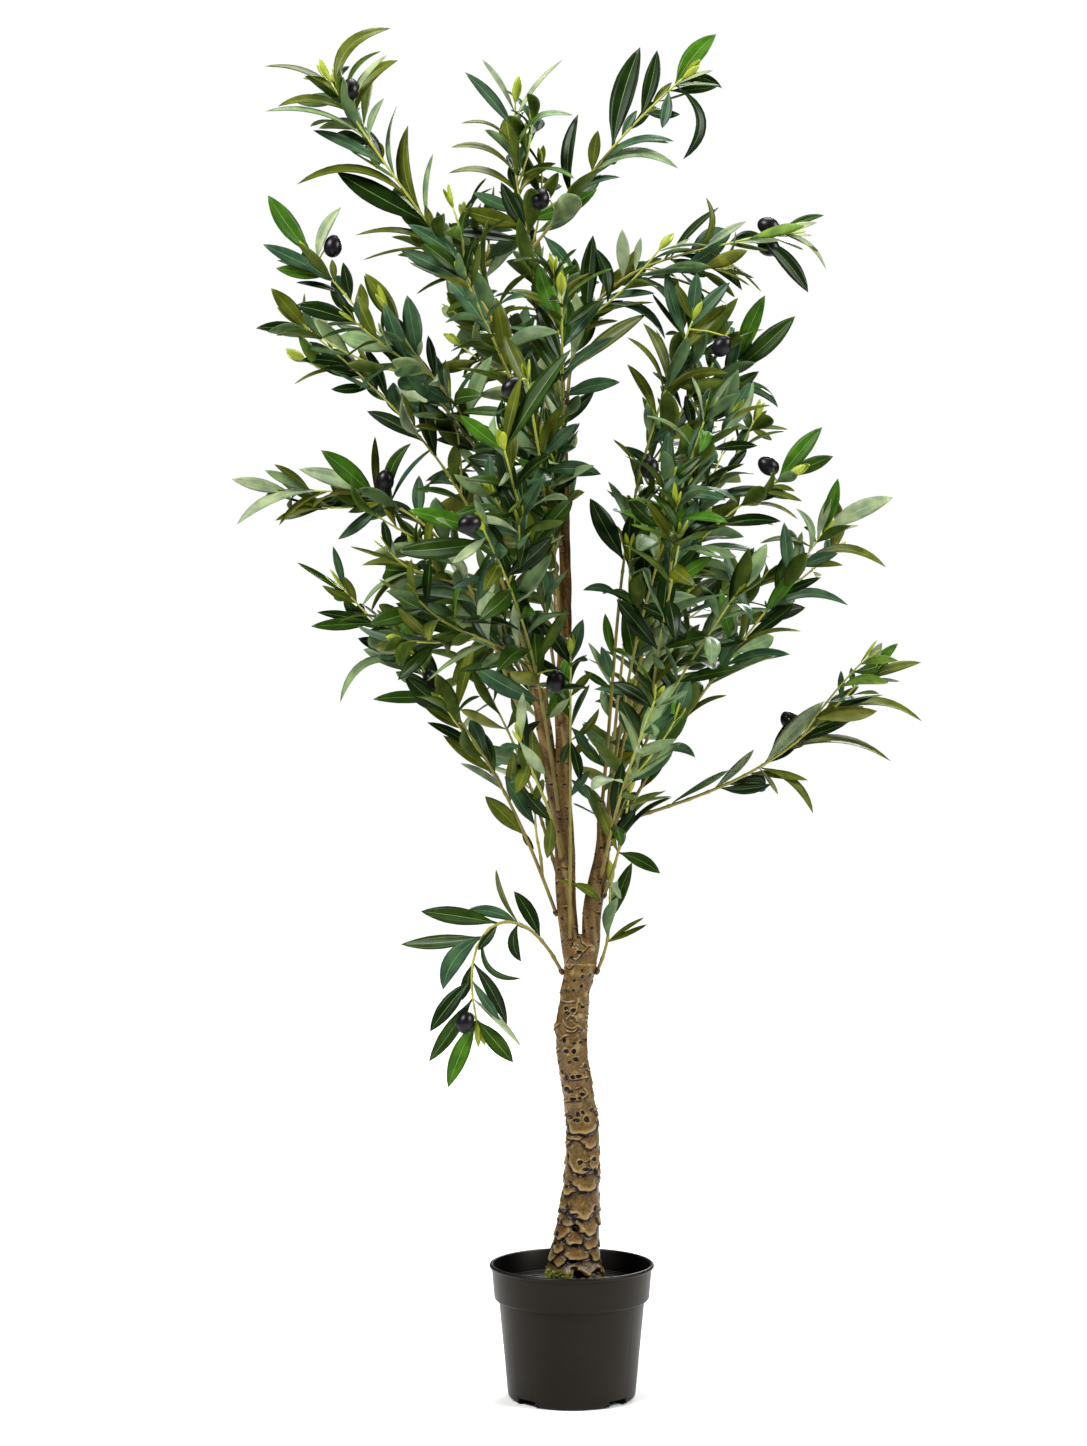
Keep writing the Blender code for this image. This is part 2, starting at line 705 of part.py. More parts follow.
def olive_shapes(place, twig_point):
    """An olive that hangs from its twig by a stalk."""
    half_width, half_length = OLIVE_SIZE
    angles = np.linspace(-math.pi / 2, math.pi / 2, OLIVE_BANDS + 1)
    profile = [(half_width * math.cos(a), half_length * math.sin(a)) for a in angles]
    corners, faces = turned(profile, OLIVE_SIDES)
    fruit = [np.array(corner) + place for corner in corners]
    top = place + Z_AXIS * half_length * STALK_TOP
    stalk = tube(np.array((twig_point, top)), (STALK_RADIUS,) * 2, STEM_SIDES, np.array((0.3, 1, 0.2)))
    return (fruit, faces), stalk


# The tree.


def make_sprays():
    space = Space()
    for name in LIMBS:
        space.take(name, limb_surface(name))
    routes = {name: spray_twigs(spray) for name, spray in SPRAYS.items()}
    for name, twigs in routes.items():
        for points in twigs:
            space.take(name, tube_points(points, FORK_RADIUS))
    pieces = {name: [] for name in SPRAYS}
    for place in map(np.array, OLIVES):
        name, twig_point = nearest_twig(place, routes)
        fruit, stalk = olive_shapes(place, twig_point)
        pieces[name] += [solid("olive", fruit, "olive"), solid("stalk", stalk, "stem")]
        space.take(name, fruit[0])
    for number, (name, twigs) in enumerate(routes.items()):
        draw = random.Random(SEED + number)
        for points in twigs:
            for leaf in twig_leaves(draw, points):
                if space.take_leaf(name, leaf):
                    pieces[name].append(solid("leaf", leaf_shape(leaf), "leaf"))
    for name, (stem, *forks) in routes.items():
        spray = solid(name, twig_shape(stem, STEM_FOOT_RADIUS), "stem")
        pieces[name] += [solid("twig", twig_shape(fork, FORK_RADIUS), "stem") for fork in forks]
        apply_boolean(spray, "UNION", pieces[name])


def main():
    for old in list(bpy.data.objects):
        bpy.data.objects.remove(old)
    make_pot()
    make_fill()
    make_limbs()
    make_sprays()


main()
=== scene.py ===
"""Looks of the potted artificial olive tree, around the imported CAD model.

Lengths are in metres, +Z is up and the tree's front faces -Y. The sprays grow again here
by the source's rule, with finer stems, leaves, buds and olives within the same reach. The
bark gets its relief, and the pot its smooth moulded shape.
"""

import math
import random
from collections import namedtuple

import bpy
import numpy as np
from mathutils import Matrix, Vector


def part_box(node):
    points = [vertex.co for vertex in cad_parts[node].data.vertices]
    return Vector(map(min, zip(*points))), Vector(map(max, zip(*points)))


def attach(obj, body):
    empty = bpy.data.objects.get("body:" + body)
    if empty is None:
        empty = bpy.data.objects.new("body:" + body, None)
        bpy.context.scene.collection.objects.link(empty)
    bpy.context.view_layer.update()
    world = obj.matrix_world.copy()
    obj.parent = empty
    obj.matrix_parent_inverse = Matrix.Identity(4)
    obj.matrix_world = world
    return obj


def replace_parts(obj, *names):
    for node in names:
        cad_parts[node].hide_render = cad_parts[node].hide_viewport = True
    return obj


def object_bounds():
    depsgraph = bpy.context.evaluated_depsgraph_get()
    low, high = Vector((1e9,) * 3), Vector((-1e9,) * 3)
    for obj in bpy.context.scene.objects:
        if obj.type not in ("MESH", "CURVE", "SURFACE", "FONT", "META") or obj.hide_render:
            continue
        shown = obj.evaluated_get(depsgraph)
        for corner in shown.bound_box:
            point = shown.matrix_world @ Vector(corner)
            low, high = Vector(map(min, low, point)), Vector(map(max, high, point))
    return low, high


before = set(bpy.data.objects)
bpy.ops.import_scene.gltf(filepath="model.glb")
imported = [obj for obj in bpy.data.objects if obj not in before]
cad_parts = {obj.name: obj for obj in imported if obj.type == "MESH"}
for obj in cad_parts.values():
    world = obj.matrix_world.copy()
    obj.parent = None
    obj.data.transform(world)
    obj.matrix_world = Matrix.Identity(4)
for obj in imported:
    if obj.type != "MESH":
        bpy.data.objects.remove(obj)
cad_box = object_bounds()

_, Y_AXIS, Z_AXIS = np.eye(3)
TURN = 2 * math.pi
FRONT = -math.pi / 2
SEED = 5

# The view: a level camera, which sees the object's mid height as the photograph does.
CAMERA_PLACE = (-0.031, -3.053, 0.738)
CAMERA_LENS = 69.29
CAMERA_SENSOR = 36.0
PHOTO_SCALE = 0.001097  # metres for a pixel at the tree's middle
PHOTO_MIDDLE = (571.7, 1395.4)  # the pixel of the frame's origin

FILL_LEVEL = 0.123

# Limbs, as in the source: x, y, z and radius at each station.
LIMBS = {
    "trunk": (
        (0.003, 0.000, 0.1233, 0.0345),
        (0.003, 0.000, 0.150, 0.0280),
        (0.006, 0.001, 0.178, 0.0250),
        (0.009, 0.002, 0.210, 0.0218),
        (0.012, 0.002, 0.260, 0.0195),
        (0.011, 0.000, 0.305, 0.0180),
        (0.003, -0.003, 0.355, 0.0176),
        (0.000, -0.002, 0.390, 0.0178),
        (0.003, 0.000, 0.435, 0.0172),
        (0.009, 0.001, 0.470, 0.0180),
        (0.010, 0.001, 0.492, 0.0178),
    ),
    "left_bough": (
        (-0.001, 0.000, 0.4923, 0.0100),
        (-0.006, 0.002, 0.540, 0.0108),
        (-0.008, 0.004, 0.610, 0.0112),
        (-0.012, 0.002, 0.665, 0.0110),
        (-0.009, 0.000, 0.710, 0.0088),
        (-0.011, 0.002, 0.760, 0.0078),
        (-0.007, 0.004, 0.860, 0.0068),
        (-0.009, 0.000, 1.000, 0.0054),
        (-0.013, 0.000, 1.145, 0.0040),
    ),
    "right_bough": (
        (0.0205, 0.000, 0.4923, 0.0098),
        (0.0225, -0.002, 0.530, 0.0104),
        (0.028, -0.003, 0.565, 0.0104),
        (0.033, -0.002, 0.592, 0.0084),
        (0.034, -0.001, 0.620, 0.0066),
        (0.032, 0.000, 0.650, 0.0048),
    ),
    "cut_bough": (
        (-0.012, 0.002, 0.630, 0.0082),
        (-0.022, 0.001, 0.680, 0.0086),
        (-0.030, 0.000, 0.730, 0.0084),
        (-0.036, -0.001, 0.776, 0.0082),
    ),
}
# Sprays: the limb, the height of the foot on it, the stem's tip with the slopes at which the
# stem leaves and arrives, and forks, each with its tip, its slopes and where on the stem it
# starts. They are as in the source, but spray_right_top leaves more steeply, as photographed.
Spray = namedtuple("Spray", "limb foot stem forks", defaults=[()])
SPRAYS = {
    "spray_low_left": Spray("trunk", 0.466, (-0.104, -0.015, 0.414, 64, -104)),
    "spray_low_right": Spray("trunk", 0.466, (0.042, -0.004, 0.560, 66, 88)),
    "spray_left_1": Spray(
        "left_bough",
        0.530,
        (-0.247, -0.030, 0.882, 70, 46),
        [(-0.040, -0.034, 0.640, 85, 92, 0.1)],
    ),
    "spray_left_2": Spray(
        "cut_bough",
        0.700,
        (-0.310, 0.020, 0.993, 66, -4),
        [(-0.197, -0.040, 0.923, 62, 48, 0.4)],
    ),
    "spray_left_3": Spray("cut_bough", 0.776, (-0.290, 0.030, 1.172, 74, 40)),
    "spray_left_4": Spray(
        "left_bough",
        0.880,
        (-0.284, -0.020, 1.248, 66, 50),
        [(-0.198, -0.070, 1.180, 66, 58, 0.35)],
    ),
    "spray_top_left": Spray(
        "left_bough",
        1.020,
        (-0.263, -0.010, 1.438, 72, 58),
        [(-0.118, 0.070, 1.300, 70, 70, 0.3)],
    ),
    "spray_top": Spray(
        "left_bough",
        1.145,
        (-0.062, 0.010, 1.420, 78, 94),
        [(0.120, -0.020, 1.440, 50, 40, 0.42)],
    ),
    "spray_right_top": Spray("left_bough", 1.090, (0.229, 0.000, 1.276, 88, 12)),
    "spray_right_1": Spray(
        "right_bough",
        0.650,
        (0.131, -0.030, 1.175, 84, 66),
        [(0.184, 0.020, 1.134, 66, 62, 0.55)],
    ),
    "spray_right_2": Spray(
        "right_bough",
        0.638,
        (0.231, -0.045, 1.004, 77, 28),
        [(0.170, 0.080, 1.040, 74, 60, 0.35), (0.200, 0.005, 1.070, 76, 66, 0.6)],
    ),
    "spray_right_3": Spray("right_bough", 0.606, (0.281, 0.062, 0.950, 62, 54)),
    "spray_right_4": Spray("right_bough", 0.626, (0.320, -0.020, 0.790, 17, 48)),
    "spray_right_sprout": Spray("right_bough", 0.550, (0.062, -0.030, 0.660, 66, 80)),
    "spray_front_1": Spray("left_bough", 0.500, (-0.002, -0.080, 0.810, 84, 72)),
    "spray_front_2": Spray("left_bough", 0.590, (-0.055, -0.150, 0.718, 56, 40)),
    "spray_front_3": Spray(
        "left_bough",
        0.640,
        (-0.091, -0.250, 0.932, 66, 30),
        [(-0.160, -0.180, 0.865, 50, 40, 0.4)],
    ),
    "spray_front_4": Spray("left_bough", 0.740, (-0.070, -0.280, 1.010, 62, 38)),
    "spray_front_5": Spray(
        "left_bough",
        0.810,
        (-0.047, -0.230, 1.085, 68, 46),
        [(-0.037, -0.110, 1.039, 80, 80, 0.3)],
    ),
    "spray_front_6": Spray("left_bough", 0.930, (-0.110, -0.220, 1.190, 60, 40)),
    "spray_front_7": Spray("left_bough", 1.000, (-0.012, -0.140, 1.185, 62, 60)),
    "spray_front_8": Spray("right_bough", 0.570, (0.082, -0.230, 0.761, 50, 34)),
    "spray_front_9": Spray(
        "right_bough",
        0.600,
        (0.167, -0.170, 0.870, 66, 44),
        [(0.108, -0.215, 0.925, 66, 50, 0.4)],
    ),
    "spray_front_10": Spray("right_bough", 0.620, (0.135, -0.180, 1.050, 78, 56)),
    "spray_back_1": Spray("left_bough", 0.560, (-0.110, 0.190, 0.800, 60, 40)),
    "spray_back_2": Spray(
        "left_bough",
        0.660,
        (-0.120, 0.280, 0.900, 62, 30),
        [(-0.170, 0.170, 0.930, 60, 50, 0.4)],
    ),
    "spray_back_3": Spray("left_bough", 0.760, (-0.030, 0.300, 1.000, 60, 34)),
    "spray_back_4": Spray("left_bough", 0.840, (-0.160, 0.230, 1.110, 62, 44)),
    "spray_back_5": Spray(
        "left_bough",
        0.920,
        (-0.070, 0.250, 1.200, 64, 42),
        [(-0.040, 0.150, 1.250, 70, 66, 0.3)],
    ),
    "spray_back_6": Spray("left_bough", 1.050, (-0.160, 0.170, 1.280, 62, 50)),
    "spray_back_7": Spray("right_bough", 0.560, (0.090, 0.210, 0.770, 54, 36)),
    "spray_back_8": Spray(
        "right_bough",
        0.584,
        (0.130, 0.280, 0.900, 64, 34),
        [(0.220, 0.160, 0.900, 56, 40, 0.4)],
    ),
    "spray_back_9": Spray("right_bough", 0.612, (0.110, 0.200, 1.070, 76, 54)),
}
# Stems: wired, round, thinner and greener towards the tip.
STEM_FOOT_RADIUS = 0.0021
FORK_RADIUS = 0.0018
TWIG_RADIUS = 0.0013
STEM_TIP_RADIUS = 0.0010
STEM_SIDES = 8
STEM_STEP = 0.008
STEM_PLUG = 0.004  # how far a stem goes into its limb
STEM_VALUES = (0.0, 1.0)  # the ripeness at a stem's foot and tip, which its colour follows
TWIG_VALUES = (0.55, 1.0)
FORK_VALUE = 0.6
BOW = 0.42
NUB_SIZE = 1.35  # how much thicker a stem is where leaves leave it
NUB_LENGTH = 0.0022
NUB_REACH = 2.2
PLAIN_STEP = 4  # between nubs one ring in this many is kept
SOCKET_RADIUS = 0.0032
SOCKET_LENGTH = 0.008
SOCKET_RINGS = 7
SOCKET_SIDES = 10

# Leaves: opposite pairs, each a quarter turn from the last.
PAIR_SPACING = 0.0225
FIRST_PAIR = 0.6  # how far from the tip the first pair grows, as a share of the spacing
LEAFY_LENGTH = 0.290
BARE_SHARE = 0.12
LEAF_LENGTH = (0.056, 0.070)
YOUNG_STRETCH = 0.06
LENGTHS_VARY = (0.78, 1.20)
LEAF_WIDTH = 0.275
WIDTHS_VARY = (0.82, 1.18)
LEAF_SPREAD = (24, 50)
LEAF_DROOP = (0.02, 0.26)
LEAF_ROLL = 1.2
LEAF_BEND = (0.45, 0.42)  # mean and spread of the angle that a blade bends back through
LEAST_BEND = -0.3
MOST_BEND = 1.4
LEAF_CURL = 0.30
LEAF_TWIST = 0.55
LEAF_THICKNESS = 0.0009
PAIR_TURN = 0.35
TIP_LEAVES = 3
TIP_SPREAD = 20
TIP_SETBACK = 0.002
BUD_SETBACK = 0.001
TRIES = 9

# One blade: rows from root to tip and columns from edge to edge, with a raised rib.
BLADE_ROWS = 13
BLADE_COLUMNS = np.array((-1.0, -0.56, -0.035, 0.035, 0.56, 1.0))
BLADE_CUP = 0.22
OUTLINE_AT = (0.0, 0.05, 0.12, 0.25, 0.40, 0.52, 0.66, 0.80, 0.92, 1.0)
OUTLINE = (0.09, 0.11, 0.26, 0.64, 0.92, 1.0, 0.95, 0.72, 0.36, 0.015)

# Side twigs, which the source leaves out.
SIDE_TWIG_SPACING = 0.085
SIDE_TWIG_SHIFT = 0.02
SIDE_TWIG_CHANCE = 0.55
SIDE_TWIG_LENGTH = (0.070, 0.120)
SIDE_TWIG_SPREAD = (30, 44)
SIDE_TWIG_STEPS = 8
SIDE_TWIG_TURNS_BACK = 0.6

# Buds: two young leaflets at each twig's tip.
BUD_LENGTH = (0.022, 0.032)
BUD_WIDTH = 0.36
BUD_SPREAD = 0.16
BUD_BULGE = -0.03

OLIVE_SIZE = (0.0100, 0.0125)
OLIVE_TIPS = (1.03, 0.97)  # how far its lower and upper ends reach, as shares of its half length
OLIVE_RINGS = 15
OLIVE_SIDES = 24
OLIVE_SWING = 0.35
STALK_RADIUS = 0.0009
STALK_SIDES = 6
STALK_VALUE = 0.95
STALK_RISE = 0.002
# Each olive's middle, and how far its stalk end leans to the right, in degrees.
OLIVES = (
    (-0.261, -0.012, 1.259, 10),
    (-0.276, 0.034, 1.193, 60),
    (-0.242, -0.014, 1.430, 5),
    (-0.034, -0.036, 1.306, 15),
    (0.216, 0.004, 1.284, -72),
    (0.217, 0.012, 1.262, -78),
    (0.162, -0.040, 1.146, 35),
    (0.213, -0.034, 1.017, -55),
    (0.083, -0.066, 1.012, 15),
    (-0.062, -0.250, 1.076, 50),
    (-0.105, -0.268, 0.937, 70),
    (-0.205, 0.004, 1.004, 10),
    (-0.152, -0.034, 0.783, -25),
    (-0.018, -0.106, 0.782, 5),
    (-0.116, -0.022, 0.412, 12),
    (0.241, 0.016, 0.740, -40),
    (-0.138, 0.214, 1.086, 30),
    (0.118, 0.262, 0.880, -20),
    (-0.044, 0.284, 0.982, 45),
)

# The cells of space that limbs and blades take.
CELL = 0.003
CELLS_ACROSS = 4096
SHARED_CELLS = 0.08  # share of a blade's cells that may touch another blade
REACH_MARGIN = 0.010

# Leaf tones: base colour on top, its rib, and the colour underneath.
TONES = {
    "deep": ("#102303", "#38501a", "#3a4a15"),
    "green": ("#233b07", "#486328", "#48571e"),
    "bright": ("#386110", "#5e8229", "#5c782c"),
    "bluish": ("#314d33", "#4f6b42", "#4c633f"),
    "grey": ("#687f56", "#869968", "#73855a"),
    "khaki": ("#4a5310", "#70782b", "#5e6222"),
    "sage": ("#859470", "#a6b18a", "#8e9b78"),
}
TONE_WEIGHTS = (0.28, 0.20, 0.05, 0.25, 0.09, 0.10, 0.03)

# Leaves that stand out in the photograph, by spray: the pixels of the root and of the tip, the
# width seen in pixels, the tone, and the angle of the arch, which is positive to the left.
SEEN = {
    "spray_top_left": (
        (341, 92, 391, 28, 15, "khaki", 1.9), (356, 115, 398, 60, 15, "khaki", 1.7),
        (349, 112, 387, 55, 7, "sage", 0.9), (339, 101, 264, 66, 8, "khaki", -1.1),
        (348, 117, 278, 106, 11, "khaki", -1.2), (363, 143, 265, 111, 8, "grey", -1.0),
        (379, 169, 313, 130, 13, "bluish", -0.3), (403, 203, 297, 184, 12, "khaki", -1.7),
        (418, 226, 337, 172, 24, "deep", 0.1), (367, 143, 384, 98, 8, "grey", 0.9),
        (393, 181, 397, 105, 5, "grey", 0.8), (419, 217, 408, 125, 15, "khaki", 1.0),
        (426, 225, 433, 153, 6, "grey", 0.5), (432, 234, 425, 205, 12, "khaki", 0.2),
        (443, 240, 437, 211, 10, "green", -0.2), (440, 262, 355, 235, 9, "khaki", -1.1),
        (456, 285, 400, 249, 17, "bluish", 0.0), (425, 262, 362, 260, 4, "khaki", -0.5),
        (452, 297, 409, 262, 9, "khaki", 0.1), (455, 285, 416, 294, 5, "green", -0.6),
    ),
    "spray_top": (
        (510, 125, 465, 72, 13, "bluish", -0.3), (513, 113, 482, 59, 7, "sage", -0.3),
        (518, 122, 563, 59, 6, "sage", 0.5), (514, 153, 461, 123, 4, "khaki", -1.9),
        (520, 148, 573, 115, 8, "grey", 1.9), (523, 178, 542, 117, 9, "bluish", 0.5),
        (508, 172, 451, 147, 8, "khaki", -1.5), (500, 198, 448, 173, 9, "khaki", -1.5),
        (522, 196, 509, 166, 17, "deep", 0.2), (524, 232, 501, 182, 22, "deep", 0.2),
        (527, 228, 514, 190, 21, "green", -0.1), (525, 196, 556, 163, 11, "khaki", 1.3),
        (553, 187, 578, 114, 13, "deep", 0.7), (537, 214, 597, 189, 18, "bright", -0.5),
        (570, 195, 620, 177, 8, "bluish", 1.1), (497, 220, 473, 192, 14, "bluish", 0.2),
        (490, 237, 461, 209, 19, "khaki", 0.2), (525, 243, 445, 232, 13, "deep", -0.2),
        (603, 140, 640, 47, 24, "deep", 0.3), (638, 114, 657, 50, 16, "deep", -0.3),
        (675, 90, 716, 34, 22, "bright", 0.5), (682, 90, 713, 70, 5, "sage", 0.3),
        (683, 92, 722, 88, 10, "deep", 1.7), (683, 100, 718, 86, 10, "deep", -0.2),
        (683, 90, 720, 85, 4, "sage", 0.2), (680, 92, 683, 159, 11, "deep", 2.5),
        (682, 100, 662, 128, 16, "bluish", 0.3), (620, 133, 637, 110, 14, "bluish", 0.2),
        (600, 160, 674, 141, 10, "bluish", 1.2), (580, 178, 678, 168, 13, "grey", 2.0),
        (583, 167, 598, 130, 13, "khaki", 0.2), (650, 105, 672, 82, 8, "khaki", 0.2),
        (645, 112, 680, 114, 11, "deep", -0.3), (548, 236, 573, 272, 13, "bluish", 0.2),
        (545, 280, 575, 283, 12, "bluish", 0.3),
    ),
    "spray_right_top": (
        (779, 234, 824, 215, 8, "green", 0.6), (775, 240, 817, 222, 8, "sage", 0.1),
        (760, 244, 813, 235, 7, "sage", 0.2), (788, 240, 819, 251, 5, "khaki", 0.3),
        (788, 240, 826, 269, 6, "sage", 1.2), (757, 250, 808, 292, 17, "deep", 0.5),
        (703, 256, 746, 221, 9, "sage", 0.2), (672, 262, 719, 207, 9, "deep", 0.4),
        (700, 257, 706, 197, 7, "khaki", -1.8), (660, 263, 690, 238, 5, "sage", 0.3),
        (618, 270, 622, 229, 14, "sage", 0.0), (622, 275, 638, 248, 14, "khaki", 0.0),
        (600, 300, 636, 263, 16, "khaki", 0.2), (680, 264, 742, 290, 14, "deep", 1.3),
        (710, 262, 762, 292, 4, "khaki", 0.5), (600, 300, 655, 293, 9, "bluish", 0.4),
        (635, 272, 662, 258, 8, "bluish", 0.2), (640, 279, 727, 304, 4, "khaki", 0.6),
        (735, 254, 782, 240, 8, "sage", 0.2), (578, 312, 593, 235, 18, "deep", 0.1),
        (585, 374, 646, 314, 16, "khaki", 0.3), (634, 262, 641, 237, 8, "sage", 0.2),
        (603, 283, 598, 261, 8, "bluish", 0.2), (583, 318, 613, 304, 12, "green", -0.4),
        (603, 330, 623, 300, 11, "deep", 0.3), (598, 325, 654, 302, 5, "khaki", 0.4),
        (590, 340, 601, 312, 10, "khaki", 0.1), (584, 362, 580, 325, 8, "grey", 0.1),
    ),
    "spray_right_1": (
        (683, 337, 666, 270, 15, "bluish", 0.3), (689, 322, 676, 283, 11, "khaki", 0.1),
        (694, 318, 697, 272, 14, "bluish", 0.0), (694, 327, 730, 282, 15, "bluish", 0.2),
        (684, 355, 728, 304, 18, "khaki", 0.3), (669, 388, 643, 323, 11, "khaki", -0.9),
        (683, 335, 652, 293, 6, "deep", 0.2), (662, 392, 627, 337, 6, "khaki", -1.1),
        (660, 418, 627, 364, 11, "khaki", -0.5), (657, 440, 647, 402, 9, "grey", 0.2),
        (660, 450, 679, 424, 13, "bluish", 0.1), (645, 470, 613, 439, 5, "khaki", -0.4),
        (677, 372, 694, 356, 10, "deep", 0.2), (672, 400, 728, 373, 13, "khaki", 1.4),
        (738, 366, 765, 295, 18, "bright", 0.3), (738, 370, 795, 316, 21, "green", -0.1),
        (737, 366, 752, 337, 15, "khaki", 0.0), (731, 420, 759, 371, 15, "green", 0.1),
        (722, 394, 778, 407, 12, "bluish", 2.0), (716, 380, 705, 350, 12, "bluish", 0.1),
        (722, 380, 742, 330, 13, "bluish", 0.3), (712, 440, 747, 402, 10, "deep", 0.3),
        (690, 430, 685, 395, 15, "deep", -0.2), (706, 415, 692, 380, 10, "khaki", 0.2),
        (637, 565, 590, 498, 23, "deep", 0.1), (645, 535, 608, 481, 9, "grey", -0.3),
        (640, 600, 583, 590, 9, "bluish", -1.6), (664, 476, 624, 446, 10, "bluish", -0.3),
        (620, 658, 605, 613, 10, "bright", 0.2), (609, 688, 588, 642, 8, "grey", -0.2),
        (614, 678, 601, 646, 13, "bluish", -0.1), (609, 690, 584, 670, 8, "green", 0.3),
        (603, 738, 640, 752, 13, "bluish", 0.8), (620, 773, 640, 750, 12, "khaki", 0.2),
        (612, 715, 601, 690, 11, "grey", 0.1), (606, 742, 583, 722, 6, "khaki", -0.9),
        (592, 766, 575, 735, 12, "green", 0.2), (606, 770, 600, 745, 11, "bluish", 0.1),
        (600, 790, 617, 771, 9, "bluish", 0.6),
    ),
    "spray_right_2": (
        (778, 477, 822, 427, 18, "bright", 0.2), (785, 480, 833, 456, 15, "green", 0.1),
        (765, 482, 795, 491, 6, "khaki", 0.6), (745, 497, 785, 488, 9, "deep", -0.3),
        (737, 505, 798, 519, 4, "khaki", 1.2), (775, 518, 802, 501, 7, "khaki", 0.3),
        (722, 528, 781, 521, 13, "deep", 0.5), (757, 465, 749, 424, 17, "bluish", 0.1),
        (735, 483, 747, 450, 12, "deep", 0.2), (690, 490, 728, 466, 14, "deep", 0.2),
        (750, 430, 767, 410, 6, "khaki", 0.2), (752, 430, 771, 419, 6, "khaki", 0.2),
        (757, 430, 788, 429, 5, "khaki", 0.3), (755, 432, 772, 440, 9, "khaki", 0.3),
        (750, 428, 727, 423, 7, "grey", 0.2), (672, 478, 711, 440, 10, "sage", 0.2),
    ),
    "spray_right_3": (
        (827, 531, 838, 478, 14, "bright", -0.2), (820, 541, 832, 492, 9, "sage", 0.2),
        (832, 531, 893, 497, 19, "sage", 0.4), (830, 536, 859, 525, 5, "sage", 0.1),
        (803, 566, 886, 567, 10, "khaki", 1.8), (805, 568, 843, 565, 8, "khaki", 0.5),
        (803, 568, 838, 553, 12, "bluish", 0.2), (780, 598, 821, 577, 9, "deep", 0.1),
        (765, 612, 848, 605, 11, "bluish", 1.6), (806, 555, 796, 508, 8, "grey", -1.8),
        (790, 570, 802, 531, 9, "grey", 0.1), (780, 574, 784, 522, 14, "bluish", 0.0),
        (808, 548, 760, 543, 6, "khaki", -1.1), (733, 562, 788, 551, 12, "green", 0.2),
        (722, 577, 765, 600, 16, "bluish", 0.3), (762, 612, 800, 567, 14, "bright", 0.1),
        (740, 640, 795, 603, 12, "deep", -0.2), (730, 655, 801, 631, 4, "khaki", 1.2),
        (722, 664, 790, 654, 13, "bluish", 0.6), (702, 645, 737, 611, 14, "sage", 0.2),
        (702, 660, 738, 632, 17, "bluish", 0.1), (665, 553, 722, 543, 13, "bluish", 0.3),
        (708, 628, 720, 588, 14, "bright", 0.2), (645, 746, 695, 757, 11, "bluish", 2.2),
        (672, 709, 727, 695, 5, "khaki", 0.9), (650, 716, 594, 689, 15, "bluish", -1.4),
        (625, 686, 667, 683, 12, "bluish", 0.5), (662, 690, 647, 646, 14, "deep", 0.2),
        (626, 786, 666, 741, 20, "green", -0.2),
    ),
    "spray_right_4": (
        (862, 678, 882, 642, 12, "sage", 0.2), (866, 681, 898, 643, 11, "bright", 0.2),
        (862, 688, 921, 662, 10, "khaki", 0.4), (868, 689, 900, 681, 4, "khaki", 0.3),
        (822, 722, 859, 686, 11, "khaki", 0.4), (850, 690, 851, 667, 7, "bluish", 0.0),
        (842, 698, 841, 670, 7, "bluish", 0.0), (840, 709, 875, 695, 8, "deep", 0.1),
        (838, 717, 922, 721, 9, "khaki", 1.4), (800, 742, 847, 723, 9, "deep", 0.1),
        (788, 751, 891, 761, 9, "khaki", 1.2), (765, 762, 824, 701, 16, "sage", 0.2),
        (768, 758, 797, 714, 8, "deep", 0.3), (705, 776, 754, 749, 8, "sage", -0.3),
        (745, 771, 808, 780, 9, "khaki", 0.3), (763, 774, 813, 813, 9, "khaki", 1.2),
        (758, 770, 778, 794, 5, "khaki", 0.2), (712, 780, 771, 784, 11, "deep", -0.5),
    ),
    "spray_low_right": (
        (608, 922, 632, 862, 14, "green", 0.1), (607, 903, 618, 880, 11, "sage", 0.3),
        (604, 943, 647, 924, 5, "khaki", -0.2), (604, 943, 644, 917, 4, "khaki", 0.1),
    ),
    "spray_right_sprout": (
        (608, 876, 621, 899, 12, "sage", 0.0),
        (620, 840, 672, 797, 4, "deep", 0.9), (617, 853, 660, 873, 16, "green", 0.5),
        (604, 846, 597, 800, 12, "khaki", 0.1), (612, 850, 630, 800, 9, "deep", 0.1),
    ),
    "spray_left_1": (
        (345, 597, 297, 562, 6, "green", 0.0), (343, 578, 333, 546, 8, "bluish", 0.0),
        (357, 606, 344, 576, 10, "khaki", 0.1), (355, 610, 322, 585, 8, "khaki", 0.2),
        (365, 631, 317, 612, 10, "deep", -0.1), (364, 634, 311, 626, 13, "green", 0.0),
        (395, 660, 358, 638, 16, "deep", 0.1), (408, 679, 340, 702, 9, "grey", -2.6),
        (440, 702, 373, 699, 13, "green", -0.3), (475, 726, 423, 705, 10, "khaki", 0.0),
        (485, 746, 427, 722, 10, "deep", -0.3), (495, 770, 443, 735, 12, "khaki", 0.0),
        (508, 786, 460, 763, 7, "sage", -0.5), (527, 838, 485, 796, 17, "khaki", 0.0),
        (410, 678, 414, 660, 6, "sage", 0.0), (388, 640, 397, 606, 9, "bluish", 0.5),
        (440, 634, 388, 640, 7, "green", -1.2), (470, 641, 398, 603, 21, "deep", -0.5),
        (526, 797, 514, 752, 12, "khaki", 0.1), (523, 826, 534, 849, 7, "deep", -0.5),
        (478, 702, 474, 643, 12, "khaki", 0.1),
    ),
    "spray_left_2": (
        (290, 490, 232, 479, 14, "sage", 0.0), (315, 494, 265, 470, 11, "grey", 0.0),
        (312, 490, 274, 464, 8, "khaki", -0.3), (294, 490, 266, 494, 7, "khaki", 0.0),
        (320, 499, 237, 524, 12, "sage", -1.0), (325, 500, 279, 525, 7, "khaki", -0.9),
